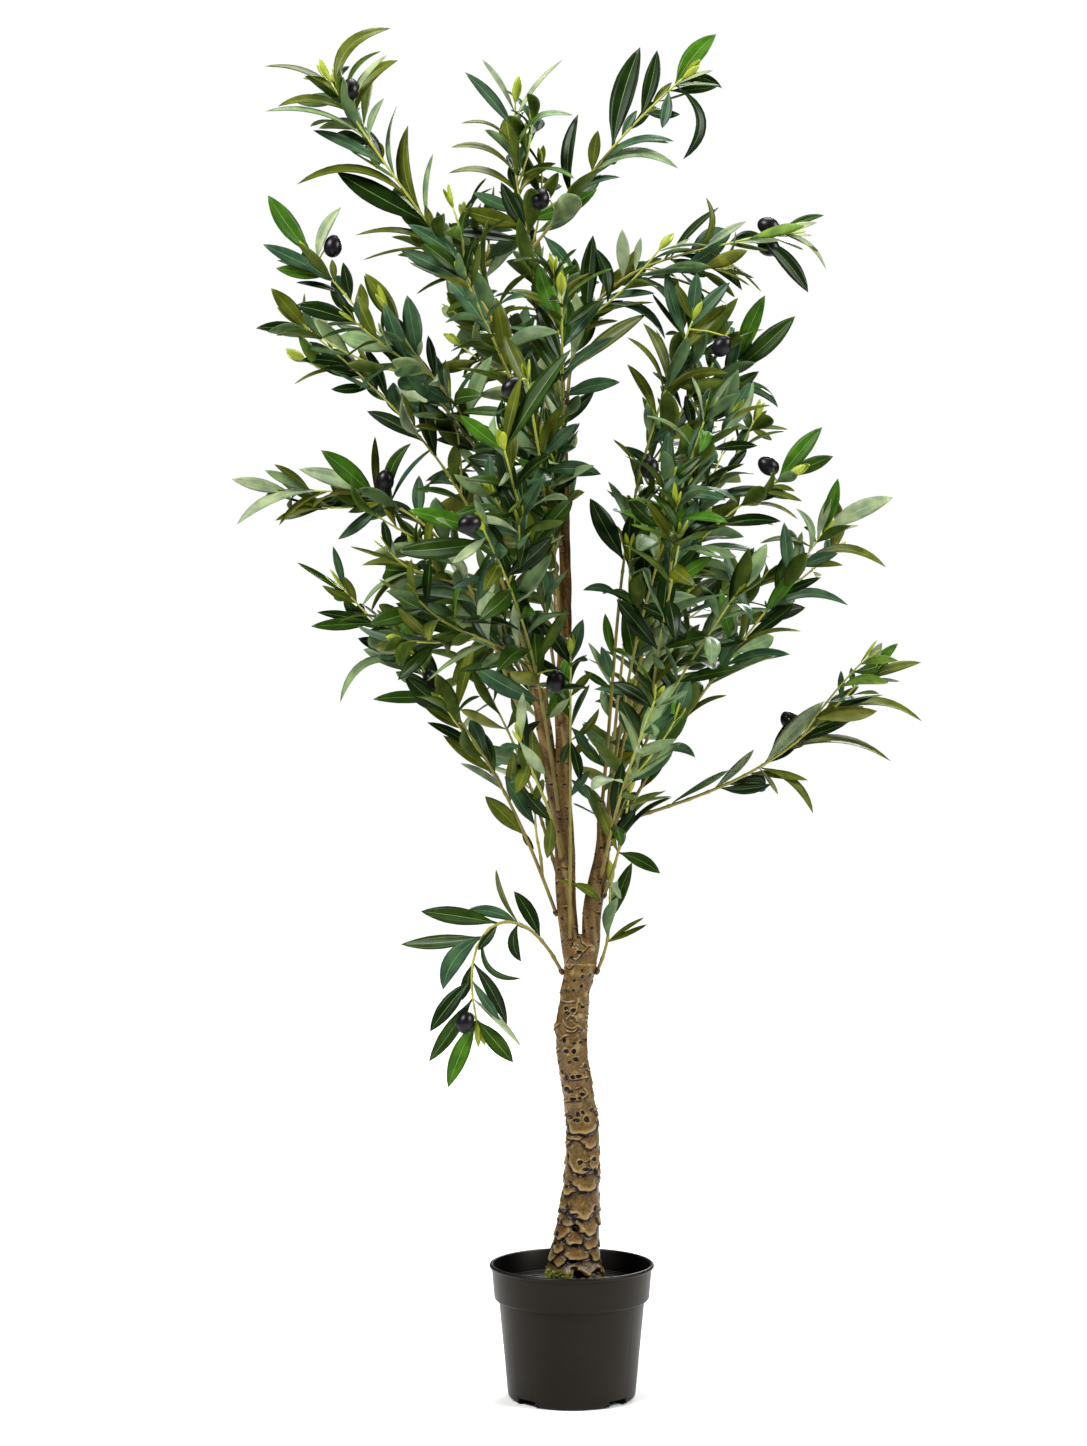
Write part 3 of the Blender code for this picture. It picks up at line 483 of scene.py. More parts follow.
        (380, 499, 299, 469, 17, "sage", -0.4), (378, 495, 321, 450, 20, "bright", -0.2),
        (383, 482, 375, 436, 8, "khaki", 0.2), (394, 497, 411, 443, 13, "green", 1.4),
        (382, 506, 338, 539, 12, "bluish", 0.3), (400, 518, 339, 506, 10, "deep", -0.5),
        (376, 518, 348, 512, 9, "khaki", 0.1), (400, 542, 383, 520, 10, "deep", 0.0),
        (396, 556, 381, 521, 8, "sage", 0.1), (418, 520, 419, 475, 14, "bluish", 0.0),
        (400, 470, 435, 446, 5, "bluish", 0.6), (400, 569, 350, 546, 4, "khaki", 0.0),
        (414, 584, 362, 565, 9, "khaki", -1.0), (420, 590, 405, 560, 9, "khaki", 0.1),
        (440, 588, 420, 565, 12, "deep", 0.1), (413, 584, 371, 612, 6, "khaki", -1.1),
        (405, 586, 362, 606, 5, "grey", -0.9),
    ),
    "spray_left_3": (
        (318, 340, 256, 328, 14, "deep", -0.6), (310, 328, 271, 288, 17, "khaki", 0.0),
        (314, 331, 277, 307, 8, "khaki", 0.0), (328, 350, 325, 320, 16, "khaki", 0.0),
        (337, 355, 303, 342, 10, "deep", 0.1), (352, 366, 301, 360, 11, "deep", -0.5),
        (355, 368, 294, 384, 5, "khaki", -0.9), (364, 377, 322, 368, 11, "deep", 0.0),
        (375, 385, 331, 389, 11, "deep", 0.2), (410, 381, 366, 388, 11, "bluish", -0.2),
        (435, 436, 367, 411, 15, "deep", -0.3), (378, 380, 361, 352, 13, "khaki", 0.0),
        (415, 375, 364, 346, 12, "deep", -0.3), (428, 425, 401, 392, 10, "khaki", 0.0),
        (455, 440, 420, 400, 16, "deep", 0.0), (352, 353, 341, 334, 9, "khaki", 0.1),
    ),
    "spray_left_4": (
        (314, 257, 268, 195, 20, "bright", 0.2), (323, 257, 341, 207, 12, "sage", 0.9),
        (325, 282, 263, 244, 15, "bluish", 0.0), (330, 285, 277, 260, 9, "khaki", -0.4),
        (300, 300, 276, 268, 15, "bright", 0.1), (345, 298, 296, 282, 7, "deep", -0.4),
        (330, 284, 332, 259, 17, "khaki", 0.0), (352, 302, 343, 262, 15, "deep", 0.0),
        (312, 302, 306, 262, 12, "bluish", 0.0), (398, 333, 365, 273, 17, "khaki", -0.3),
        (365, 325, 361, 283, 14, "khaki", 0.2), (415, 357, 407, 295, 19, "bluish", 0.0),
        (420, 361, 422, 340, 12, "sage", 0.1), (441, 372, 428, 335, 10, "deep", 0.0),
        (448, 405, 436, 355, 16, "bluish", 0.1), (415, 374, 385, 352, 13, "deep", 0.0),
    ),
    "spray_low_left": (
        (493, 919, 421, 911, 18, "green", -0.1), (517, 921, 467, 910, 12, "bluish", -0.8),
        (525, 922, 496, 869, 6, "khaki", 0.5), (543, 933, 514, 891, 15, "deep", -0.4),
        (478, 940, 401, 944, 14, "green", 0.2), (482, 932, 443, 989, 20, "bluish", -1.2),
        (515, 925, 521, 961, 12, "deep", -1.5), (482, 942, 521, 978, 7, "green", -2.4),
        (473, 972, 430, 1031, 17, "deep", -0.2), (473, 958, 462, 1000, 11, "deep", 0.0),
        (473, 1008, 429, 1061, 16, "green", 0.1), (476, 1022, 448, 1087, 18, "bright", -0.2),
        (477, 1010, 513, 1062, 19, "green", 0.0), (474, 980, 500, 1020, 9, "bluish", -0.2),
        (474, 966, 507, 1024, 13, "deep", 0.3), (477, 1005, 521, 1046, 6, "sage", 0.2),
        (533, 932, 515, 922, 8, "khaki", 0.0), (495, 927, 478, 950, 12, "deep", 0.0),
    ),
    "spray_front_1": (
        (569, 662, 583, 619, 16, "bluish", 0.2), (568, 662, 542, 623, 16, "deep", -0.2),
        (562, 679, 526, 655, 14, "deep", 0.2), (568, 700, 549, 718, 9, "sage", 0.0),
        (572, 742, 599, 708, 8, "khaki", -0.8), (575, 800, 590, 770, 9, "bluish", 0.2),
        (579, 882, 600, 901, 10, "khaki", 0.9), (579, 882, 559, 880, 5, "khaki", -0.3),
        (568, 742, 580, 781, 11, "deep", 0.3), (573, 700, 592, 672, 9, "khaki", 0.3),
        (572, 716, 556, 694, 8, "green", -0.3), (574, 724, 590, 752, 9, "bluish", 0.4),
        (574, 742, 562, 765, 8, "green", -0.4), (575, 760, 589, 738, 8, "khaki", 0.2),
        (576, 778, 591, 800, 9, "bluish", 0.3),
    ),
    "spray_front_2": (
        (549, 815, 547, 858, 13, "khaki", 0.3),
        (548, 738, 500, 750, 16, "bluish", -1.2), (548, 735, 545, 774, 14, "sage", -0.2),
        (548, 766, 509, 783, 14, "bluish", -0.3), (562, 826, 525, 806, 12, "green", -1.6),
        (543, 824, 524, 790, 13, "deep", 0.3), (533, 727, 523, 692, 10, "sage", 0.1),
    ),
    "spray_front_3": (
        (470, 540, 408, 510, 17, "bright", -0.1), (482, 544, 395, 551, 21, "green", 0.2),
        (480, 540, 452, 563, 10, "sage", 0.2), (485, 555, 478, 600, 15, "bluish", 0.2),
    ),
    "spray_front_4": (
        (500, 405, 522, 375, 11, "khaki", 0.2), (521, 404, 571, 349, 17, "green", 0.2),
        (500, 400, 460, 415, 17, "bright", 0.2),
    ),
    "spray_front_5": (
        (560, 458, 577, 423, 13, "bluish", 0.2), (545, 470, 601, 474, 16, "bluish", 0.6),
    ),
    "spray_front_7": (
        (557, 330, 537, 262, 18, "bright", 0.2), (557, 330, 600, 300, 10, "green", 0.2),
        (571, 397, 620, 382, 15, "bluish", 0.5), (562, 428, 594, 392, 14, "deep", 0.3),
        (560, 374, 616, 336, 11, "bluish", 0.4),
    ),
}

# The crown's outline in the photograph and the sky that shows through it, in pixels. Leaves
# that the rule grows keep inside the outline and off the sky, as seen from the front.
CROWN_EDGE = (
    (556, 910), (536, 862), (518, 835), (487, 797), (503, 786), (462, 762), (440, 735),
    (428, 719), (452, 712), (374, 702), (376, 694), (408, 690), (355, 645), (312, 628),
    (318, 609), (345, 612), (326, 588), (298, 562), (334, 565), (347, 576), (364, 602),
    (393, 600), (362, 565), (374, 535), (398, 550), (385, 524), (339, 540), (362, 508),
    (325, 508), (280, 525), (237, 525), (290, 500), (232, 478), (275, 463), (318, 488),
    (300, 467), (335, 473), (322, 449), (360, 462), (373, 436), (386, 436), (390, 452),
    (411, 442), (417, 468), (440, 468), (452, 452), (430, 440), (367, 412), (384, 404),
    (408, 404), (372, 394), (331, 390), (345, 378), (300, 362), (310, 350), (256, 328),
    (298, 322), (271, 287), (286, 286), (275, 267), (298, 278), (263, 244), (300, 250),
    (268, 194), (300, 213), (322, 250), (341, 206), (346, 258), (366, 272), (400, 322),
    (407, 294), (420, 318), (430, 335), (452, 352), (458, 330), (424, 312), (452, 300),
    (405, 262), (362, 262), (400, 248), (355, 236), (402, 231), (338, 172), (297, 186),
    (330, 158), (358, 158), (313, 129), (345, 138), (265, 113), (278, 100), (264, 66),
    (310, 72), (324, 59), (338, 68), (391, 27), (398, 60), (376, 88), (384, 98), (397, 105),
    (408, 124), (413, 198), (430, 155), (433, 200), (445, 214), (461, 208), (474, 191),
    (490, 198), (448, 173), (451, 146), (500, 158), (461, 123), (500, 128), (465, 71),
    (482, 58), (508, 92), (511, 67), (521, 98), (564, 59), (536, 102), (574, 115),
    (546, 122), (532, 165), (557, 162), (578, 113), (570, 176), (588, 150), (604, 80),
    (640, 46), (642, 92), (657, 49), (669, 65), (662, 88), (676, 78), (716, 33), (723, 90),
    (694, 100), (708, 122), (684, 160), (678, 169), (640, 156), (602, 172), (620, 178),
    (598, 192), (582, 212), (592, 233), (600, 252), (612, 248), (622, 228), (640, 238),
    (655, 257), (690, 236), (706, 196), (720, 206), (712, 234), (746, 220), (762, 228),
    (825, 214), (828, 270), (808, 293), (765, 272), (748, 290), (766, 294), (762, 318),
    (796, 315), (764, 364), (779, 408), (762, 405), (789, 429), (773, 441), (768, 458),
    (823, 426), (834, 457), (798, 484), (792, 508), (803, 501), (814, 522), (818, 542),
    (828, 478), (842, 478), (894, 497), (852, 532), (834, 546), (887, 568), (846, 568),
    (824, 582), (849, 606), (802, 612), (780, 628), (802, 631), (762, 646), (791, 654),
    (742, 670), (700, 700), (686, 712), (682, 734), (696, 758), (672, 752), (662, 772),
    (645, 790), (700, 770), (748, 752), (765, 735), (824, 700), (850, 667), (898, 642),
    (922, 662), (882, 692), (923, 722), (862, 722), (804, 752), (892, 762), (802, 772),
    (814, 814), (768, 792), (700, 792), (640, 806), (632, 840), (661, 874), (624, 884),
    (612, 926), (598, 962), (575, 930),
)
SKY = (
    ((590, 390), (622, 386), (640, 402), (648, 450), (612, 438), (638, 478), (606, 480),
     (598, 468), (584, 455), (580, 420)),
    ((568, 505), (588, 497), (628, 556), (628, 588), (585, 588), (602, 600), (626, 612),
     (610, 650), (576, 640), (567, 560)),
    ((486, 700), (510, 696), (514, 745), (494, 742)),
    ((532, 708), (547, 712), (553, 752), (541, 756)),
    ((520, 815), (546, 820), (552, 880), (540, 872)),
    ((583, 833), (590, 826), (597, 850), (590, 900), (582, 905)),
)
LIMBS_IN_VIEW = (
    (529, 683), (550, 686), (557, 702), (569, 702), (573, 800), (579, 830), (596, 820),
    (606, 828), (602, 900), (586, 960), (566, 950), (553, 880), (546, 790), (540, 735),
)
EDGE_SLACK = 1  # how many of a leaf's points may pass the outline
THIN_BETWEEN = (0.60, 0.78)  # the heights over which the chance of a leaf grows to 1
THINNEST = 0.50  # the chance of a leaf below them

SEEN_DEPTH = 0.30  # how far a seen leaf's tip may lie nearer or farther, as a share of its length
SEEN_WIDTHS = (0.19, 0.30)  # the least and the greatest width, as shares of the length
MOST_FACING = 0.98
SLIGHT_ARCH = 0.35  # a leaf that arches less shows its upper side's outer edge on top
ARCH_PART = 9  # a leaf's length over its bulge, at an arch of 1
SEEN_TWIST = 0.3
FOREGROUND = 35  # how far aside a leaf near the seen ones may turn from the depth, in degrees
NEAR_SHARE = 0.35  # of the pairs along the seen leaves, those with a leaf on the near side too


# Small mathematics, as in the source.

ASKEW = (0.31, 0.17, 0.93)
LEAST_STEPS = 6


def unit(vector):
    return vector / np.linalg.norm(vector)


def units(vectors):
    return vectors / np.linalg.norm(vectors, axis=1)[:, None]


def smooth_stations(stations, steps):
    """Rows of (x, y, z, radius) on a smooth curve through the stations."""
    knots = np.array([stations[0], *stations, stations[-1]], float)
    rows = []
    for a, b, c, d in zip(knots, knots[1:], knots[2:], knots[3:]):
        for t in np.arange(steps) / steps:
            bend = (2 * a - 5 * b + 4 * c - d) * t**2 + (3 * b - a - 3 * c + d) * t**3
            rows.append(b + 0.5 * ((c - a) * t + bend))
    return np.array([*rows, knots[-1]])


def limb_at(rows, height):
    """The axis and the radius of a limb at a height."""
    return (np.interp(height, rows[:, 2], rows[:, i]) for i in (0, 1, 3))


def seat(limb, height, tip, leave):
    """Where a stem leaves a limb: its top, or the side facing the stem's tip."""
    rows = smooth_stations(LIMBS[limb], 2)
    centre_x, centre_y, radius = limb_at(rows, height)
    heading = unit(np.array((tip[0] - centre_x, tip[1] - centre_y, 0)))
    centre = np.array((centre_x, centre_y, height))
    if height >= rows[-1, 2]:
        return centre + heading * (radius - STEM_FOOT_RADIUS) / 2
    return centre + heading * (radius + STEM_FOOT_RADIUS * math.sin(math.radians(leave)))


def route(foot, tip, leave, arrive):
    """Points on a curve in the upright plane through foot and tip, with these slopes at its ends."""
    chord = tip - foot
    length = np.linalg.norm(chord)
    heading = unit(np.array((chord[0], chord[1], 0)))
    slopes = [math.radians(slope) for slope in (leave, arrive)]
    start, end = (heading * math.cos(slope) + Z_AXIS * math.sin(slope) for slope in slopes)
    reach = BOW * length / math.cos(abs(slopes[0] - slopes[1]) / 4) ** 3
    controls = (foot, foot + start * reach, tip - end * reach, tip)
    t = np.linspace(0, 1, max(LEAST_STEPS, round(length / STEM_STEP)) + 1)[:, None]
    weights = ((1 - t) ** 3, 3 * t * (1 - t) ** 2, 3 * t**2 * (1 - t), t**3)
    return sum(weight * control for weight, control in zip(weights, controls))


def route_length(points):
    return np.linalg.norm(np.diff(points, axis=0), axis=1).sum()


def distances(points):
    """How far along a route each of its points lies."""
    return np.concatenate(([0], np.cumsum(np.linalg.norm(np.diff(points, axis=0), axis=1))))


def at_distances(wanted, along, points):
    return np.stack([np.interp(wanted, along, points[:, axis]) for axis in range(3)], -1)


def walk(points, distance):
    """The point at this distance back from the route's end, and the direction of growth there."""
    ends = distances(points)
    along = max(ends[-1] - distance, 0)
    piece = min(np.searchsorted(ends, along, side="right") - 1, len(points) - 2)
    return at_distances(along, ends, points), unit(points[piece + 1] - points[piece])


def from_tip(points, place):
    """The distance back from a route's end to the point nearest this place."""
    near = np.linalg.norm(points - place, axis=1).argmin()
    return route_length(points[near:]) if near < len(points) - 1 else 0.0


def sideways(way, turn):
    """A direction square to the way, turned about it."""
    level = unit(np.cross(way, ASKEW))
    return level * math.cos(turn) + np.cross(way, level) * math.sin(turn)


def turns_round(sides):
    return np.arange(sides) / sides * TURN


# The camera's view of a place, and back.


def seen_place(x, y, depth):
    """The place at this depth that the camera sees at a pixel of the photograph."""
    flat = ((x - PHOTO_MIDDLE[0]) * PHOTO_SCALE, (PHOTO_MIDDLE[1] - y) * PHOTO_SCALE)
    share = (depth - CAMERA_PLACE[1]) / -CAMERA_PLACE[1]
    across = CAMERA_PLACE[0] + (flat[0] - CAMERA_PLACE[0]) * share
    return np.array((across, depth, CAMERA_PLACE[2] + (flat[1] - CAMERA_PLACE[2]) * share))


def pixels(places):
    """The photograph's pixels in which the camera sees these places."""
    share = -CAMERA_PLACE[1] / (places[..., 1] - CAMERA_PLACE[1])
    across = CAMERA_PLACE[0] + (places[..., 0] - CAMERA_PLACE[0]) * share
    up = CAMERA_PLACE[2] + (places[..., 2] - CAMERA_PLACE[2]) * share
    return across / PHOTO_SCALE + PHOTO_MIDDLE[0], PHOTO_MIDDLE[1] - up / PHOTO_SCALE


def inside(outline, x, y):
    """Which of the pixels lie inside an outline."""
    corners = np.array(outline, float)
    (x1, y1), (x2, y2) = corners.T[:, :, None], np.roll(corners, -1, axis=0).T[:, :, None]
    crosses = (y1 > y) != (y2 > y)
    meets = x1 + (x2 - x1) * (y - y1) / np.where(y1 == y2, 1, y2 - y1)
    return (crosses & (x < meets)).sum(axis=0) % 2 == 1


def keeps_to_outline(places):
    x, y = (values.ravel() for values in pixels(places))
    open_sky = ~inside(CROWN_EDGE, x, y)
    for gap in SKY:
        open_sky |= inside(gap, x, y)
    open_sky |= inside(LIMBS_IN_VIEW, x, y) & (places[..., 1].ravel() < 0)
    return open_sky.sum() <= EDGE_SLACK


# Meshes.


class Batch:
    """Shapes that are joined into one piece."""

    def __init__(self):
        self.points, self.faces, self.kinds, self.maps, self.values = [], [], [], [], []
        self.count = 0

    def add(self, points, faces, kinds=None, spots=None, values=None):
        """Points, quads (a corner of -1 makes a triangle), and each point's map place and value."""
        self.points.append(points)
        self.faces.append(np.where(faces < 0, -1, faces + self.count))
        self.kinds.append(np.zeros(len(faces), int) if kinds is None else kinds)
        self.maps.append(np.zeros((len(points), 2)) if spots is None else spots)
        self.values.append(np.zeros(len(points)) if values is None else values)
        self.count += len(points)

    def mesh(self, name):
        faces = np.concatenate(self.faces)
        corners = faces[faces >= 0].astype(np.int32)
        starts = np.concatenate(([0], np.cumsum((faces >= 0).sum(axis=1))[:-1])).astype(np.int32)
        points = np.concatenate(self.points).astype(np.float32)
        mesh = bpy.data.meshes.new(name)
        mesh.vertices.add(len(points))
        mesh.vertices.foreach_set("co", points.ravel())
        mesh.loops.add(len(corners))
        mesh.loops.foreach_set("vertex_index", corners)
        mesh.polygons.add(len(faces))
        mesh.polygons.foreach_set("loop_start", starts)
        mesh.polygons.foreach_set("material_index", np.concatenate(self.kinds).astype(np.int32))
        mesh.update(calc_edges=True)
        mesh.validate()
        spots = np.concatenate(self.maps)[corners].astype(np.float32)
        mesh.uv_layers.new(name="spots").data.foreach_set("uv", spots.ravel())
        value = mesh.attributes.new("value", "FLOAT", "POINT")
        value.data.foreach_set("value", np.concatenate(self.values).astype(np.float32))
        mesh.shade_smooth()
        return mesh

    def piece(self, name, materials, slot):
        mesh = self.mesh(name)
        for made in materials:
            mesh.materials.append(made)
        piece = bpy.data.objects.new(name, mesh)
        bpy.context.scene.collection.objects.link(piece)
        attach(piece, "root")
        return piece


def cap(ring, middle, top):
    """Triangles from a ring of corners to its middle."""
    after = np.roll(ring, -1)
    order = (ring, after) if top else (after, ring)
    return np.stack((*order, np.full(len(ring), middle), np.full(len(ring), -1)), -1)


def closed_faces(rows, columns):
    """Faces over rings of points, with a cap on the first and on the last ring.

    The middles of the caps come after all the rings.
    """
    across = np.arange(columns)
    after = (across + 1) % columns
    up = np.arange(rows - 1)[:, None] * columns
    quads = np.stack((up + across, up + after, up + columns + after, up + columns + across), -1)
    count = rows * columns
    first = cap(across, count, top=False)
    last = cap(across + count - columns, count + 1, top=True)
    return np.vstack((quads.reshape(-1, 4), first, last))


def tube(batch, centres, radii, sides, values):
    """Adds a closed round tube along the centres."""
    centres = np.asarray(centres, float)
    tangents = units(np.gradient(centres, axis=0))
    corner = sideways(tangents[0], 0)
    turns = turns_round(sides)
    rings = []
    for centre, radius, tangent in zip(centres, radii, tangents):
        corner = unit(corner - tangent * (corner @ tangent))
        other = np.cross(tangent, corner)
        ring = np.outer(np.cos(turns), corner) + np.outer(np.sin(turns), other)
        rings.append(centre + radius * ring)
    points = np.vstack((*rings, centres[0], centres[-1]))
    values = np.concatenate((np.repeat(values, sides), values[[0, -1]]))
    batch.add(points, closed_faces(len(centres), sides), values=values)


# Materials.

NOISE_DETAIL = 3.0
VEIN_SLANT = 0.5
VEIN_WAVES = 34.0
VEIN_SHARE = 0.10
DARKER = (0.66, 0.70, 0.75)
LIGHTER = (1.35, 1.28, 1.15)
POT_TINT = (1.0, 0.90, 0.80, 1)  # of its reflections


def colour(text):
    """A linear colour from its hexadecimal name."""
    shares = [int(text[i : i + 2], 16) / 255 for i in (1, 3, 5)]
    return tuple(s / 12.92 if s <= 0.04045 else ((s + 0.055) / 1.055) ** 2.4 for s in shares)


class Look:
    """A material and its node tree, with short ways to add to it."""

    def __init__(self, name, roughness, specular):
        self.material = bpy.data.materials.new(name)
        self.material.use_nodes = True
        self.nodes = self.material.node_tree.nodes
        self.shader = self.nodes["Principled BSDF"]
        self.shader.inputs["Roughness"].default_value = roughness
        self.shader.inputs["Specular IOR Level"].default_value = specular
        self.place = self.node("ShaderNodeTexCoord").outputs["Object"]

    def node(self, kind, **settings):
        made = self.nodes.new(kind)
        for name, value in settings.items():
            if name in made.inputs:
                self.set(made.inputs[name], value)
            else:
                setattr(made, name, value)
        return made

    def set(self, socket, value):
        if isinstance(value, bpy.types.NodeSocket):
            self.material.node_tree.links.new(value, socket)
        else:
            socket.default_value = value

    def noise(self, scale):
        made = self.node("ShaderNodeTexNoise", Scale=scale, Detail=NOISE_DETAIL, Vector=self.place)
        return made.outputs["Fac"]

    def value(self):
        return self.node("ShaderNodeAttribute", attribute_name="value").outputs["Fac"]

    def math(self, operation, *terms):
        made = self.node("ShaderNodeMath", operation=operation)
        for socket, term in zip(made.inputs, terms):
            self.set(socket, term)
        return made.outputs[0]

    def ramp(self, value, *stops):
        made = self.node("ShaderNodeValToRGB", Fac=value)
        elements = made.color_ramp.elements
        while len(elements) < len(stops):
            elements.new(1.0)
        for element, (place, shade) in zip(elements, stops):
            element.position = place
            element.color = (*colour(shade), 1)
        return made.outputs["Color"]

    def range(self, value, low, high, to_low=0.0, to_high=1.0):
        made = self.node("ShaderNodeMapRange")
        for socket, given in zip(made.inputs, (value, low, high, to_low, to_high)):
            self.set(socket, given)
        return made.outputs["Result"]

    def mix(self, share, first, second):
        made = self.node("ShaderNodeMix", data_type="RGBA")
        colours = [socket for socket in made.inputs if socket.type == "RGBA"]
        self.set(made.inputs["Factor"], share)
        for socket, given in zip(colours, (first, second)):
            self.set(socket, (*colour(given), 1) if isinstance(given, str) else given)
        return next(socket for socket in made.outputs if socket.type == "RGBA")

    def base(self, socket):
        self.set(self.shader.inputs["Base Color"], socket)

    def bump(self, scale, distance, strength):
        made = self.node("ShaderNodeBump", Strength=strength, Distance=distance)
        self.set(made.inputs["Height"], self.noise(scale))
        self.set(self.shader.inputs["Normal"], made.outputs["Normal"])


def plain_look(name, roughness, specular, scale, stops, bump=None):
    """A material whose tone wanders a little between some colours."""
    look = Look(name, roughness, specular)
    look.base(look.ramp(look.noise(scale), *stops))
    if bump:
        look.bump(*bump)
    return look


def blade_look(name, shade, roughness, specular):
    """A printed leaf face: mottled along its length, with a few faint side veins."""
    look = Look(name, roughness, specular)
    split = look.node("ShaderNodeSeparateXYZ")
    look.set(split.inputs[0], look.node("ShaderNodeUVMap", uv_map="spots").outputs["UV"])
    from_rib = look.math("ABSOLUTE", look.math("SUBTRACT", split.outputs["Y"], 0.5))
    slant = look.math("SUBTRACT", split.outputs["X"], look.math("MULTIPLY", from_rib, VEIN_SLANT))
    veins = look.math("SINE", look.math("MULTIPLY", slant, VEIN_WAVES))
    darker, lighter = (
        (*(a * b for a, b in zip(colour(shade), change)), 1) for change in (DARKER, LIGHTER)
    )
    printed = look.mix(look.range(look.noise(48.0), 0.38, 0.64), darker, lighter)
    look.base(look.mix(look.range(veins, 0.8, 1.0, 0.0, VEIN_SHARE), printed, lighter))
    return look.material


def rib_look(name, shade):
    look = Look(name, 0.5, 0.3)
    look.base(look.mix(look.noise(90.0), shade, "#6f8550"))
    return look.material


def stem_look():
    look = Look("stem", 0.42, 0.35)
    ripe = look.math("ADD", look.value(), look.range(look.noise(60.0), 0.3, 0.7, -0.12, 0.12))
    greens = ((0.0, "#655324"), (0.35, "#7e7530"), (0.7, "#929239"), (1.0, "#a5ad48"))
    look.base(look.ramp(ripe, *greens))
    look.bump(400.0, 0.0003, 0.4)
    return look.material


def bark_look(name, light, middle, dark):
    """Cast resin bark whose value paints light and shade: 0 on the face, up to near 1 for painted
    shade in pits, grooves and hollows, and below 0 for painted highlights on raised lips and edges,
    and paler along mould seams. On a socket the value makes bands.
    """
    look = Look(name, 0.27, 0.24)
    mottle = look.math("ADD", look.math("MULTIPLY", look.noise(60.0), 0.6), look.noise(480.0))
    face = look.mix(look.range(mottle, 0.66, 0.94), dark, middle)
    # Below 0 the value paints a highlight in the light colour; above 0 it paints shade, near black in
    # pits.
    edge = look.mix(look.range(look.value(), -0.05, -0.6), face, light)
    shaded = look.mix(look.range(look.value(), 0.0, 0.6), edge, "#2b1b0b")
    look.base(look.mix(look.range(look.value(), 0.55, 1.0), shaded, "#0a0604"))
    look.bump(550.0, 0.0008, 0.6)
    return look.material


def pot_look(name, dark, light):
    stops = ((0.3, dark), (0.7, light))
    look = plain_look(name, 0.40, 0.15, 12.0, stops, bump=(900.0, 0.0001, 0.25))
    look.shader.inputs["Specular Tint"].default_value = POT_TINT
    return look.material


# Blades.

Leaf = namedtuple("Leaf", "root chord bulge face width twist")


def blade(leaf):
    """The middle line of a leaf, and its side and face at each row."""
    shares = np.linspace(0, 1, BLADE_ROWS)[:, None]
    spine = leaf.root + shares * leaf.chord + 4 * shares * (1 - shares) * leaf.bulge
    ways = units(leaf.chord + 4 * (1 - 2 * shares) * leaf.bulge)
    sides = units(np.cross(ways, leaf.face))
    faces = np.cross(sides, ways)
    twists = leaf.twist * (shares - 0.5)
    turned_sides = sides * np.cos(twists) + faces * np.sin(twists)
    return spine, turned_sides, faces * np.cos(twists) - sides * np.sin(twists)


def blade_points(leaf):
    """The upper side's points, row by row, and its face at each row."""
    spine, sides, faces = blade(leaf)
    shares = np.linspace(0, 1, BLADE_ROWS)
    half_widths = np.interp(shares, OUTLINE_AT, OUTLINE)[:, None] * leaf.width / 2
    across = BLADE_COLUMNS[None, :]
    lift = half_widths * (BLADE_CUP * np.abs(across) ** 1.5)
    points = spine[:, None] + (half_widths * across)[..., None] * sides[:, None]
    return points + lift[..., None] * faces[:, None], faces


def blade_faces():
    """Quads of the upper and the lower side, which share the blade's edge, and their kinds."""
    columns = len(BLADE_COLUMNS)
    upper = np.arange(BLADE_ROWS * columns).reshape(BLADE_ROWS, columns)
    lower = upper.copy()
    inner = (BLADE_ROWS - 2) * (columns - 2)
    lower[1:-1, 1:-1] = (upper.size + np.arange(inner)).reshape(BLADE_ROWS - 2, columns - 2)
    faces = []
    kinds = []
    for sheet, order, kind in ((upper, 1, 0), (lower, -1, 2)):
        for here, there in zip(sheet, sheet[1:]):
            for column in range(columns - 1):
                quad = (here[column], here[column + 1], there[column + 1], there[column])
                faces.append(quad[::order])
                on_rib = column == columns // 2 - 1
                kinds.append(1 if on_rib and order == 1 else kind)
    return np.array(faces), np.array(kinds)


def blade_spots():
    """The map place of each of a blade's points: along it and across it."""
    along = np.repeat(np.linspace(0, 1, BLADE_ROWS)[:, None], len(BLADE_COLUMNS), axis=1)
    across = np.repeat((BLADE_COLUMNS[None, :] + 1) / 2, BLADE_ROWS, axis=0)
    spots = np.stack((along, across), -1)
    return np.vstack((spots.reshape(-1, 2), spots[1:-1, 1:-1].reshape(-1, 2)))


BLADE_FACES, BLADE_KINDS = blade_faces()
BLADE_SPOTS = blade_spots()


def add_blade(batch, leaf, kinds=None, spots=None):
    points, faces = blade_points(leaf)
    inner = points[1:-1, 1:-1] - faces[1:-1, None] * LEAF_THICKNESS
    points = np.vstack((points.reshape(-1, 3), inner.reshape(-1, 3)))
    batch.add(points, BLADE_FACES, kinds, spots)


def make_leaf(draw, root, way, out, distance, spread):
    lean = math.radians(spread)
    along = unit(math.cos(lean) * way + math.sin(lean) * out)
    along = unit(along - Z_AXIS * draw.uniform(*LEAF_DROOP))
    length = np.interp(distance, (0, YOUNG_STRETCH), LEAF_LENGTH) * draw.uniform(*LENGTHS_VARY)
    level = unit(np.cross(along, way))
    roll = draw.uniform(-LEAF_ROLL, LEAF_ROLL)
    face = np.cross(level, along) * math.cos(roll) + level * math.sin(roll)
    width = length * LEAF_WIDTH * draw.uniform(*WIDTHS_VARY)
    bend = min(max(draw.gauss(*LEAF_BEND), LEAST_BEND), MOST_BEND)
    curl = draw.uniform(-LEAF_CURL, LEAF_CURL)
    twist = draw.uniform(-LEAF_TWIST, LEAF_TWIST)
    chord = length * (along * math.cos(bend / 2) - face * math.sin(bend / 2))
    face = face * math.cos(bend / 2) + along * math.sin(bend / 2)
    bulge = length / 8 * (bend * face + curl * unit(np.cross(along, face)))
    return Leaf(root, chord, bulge, face, width, twist)


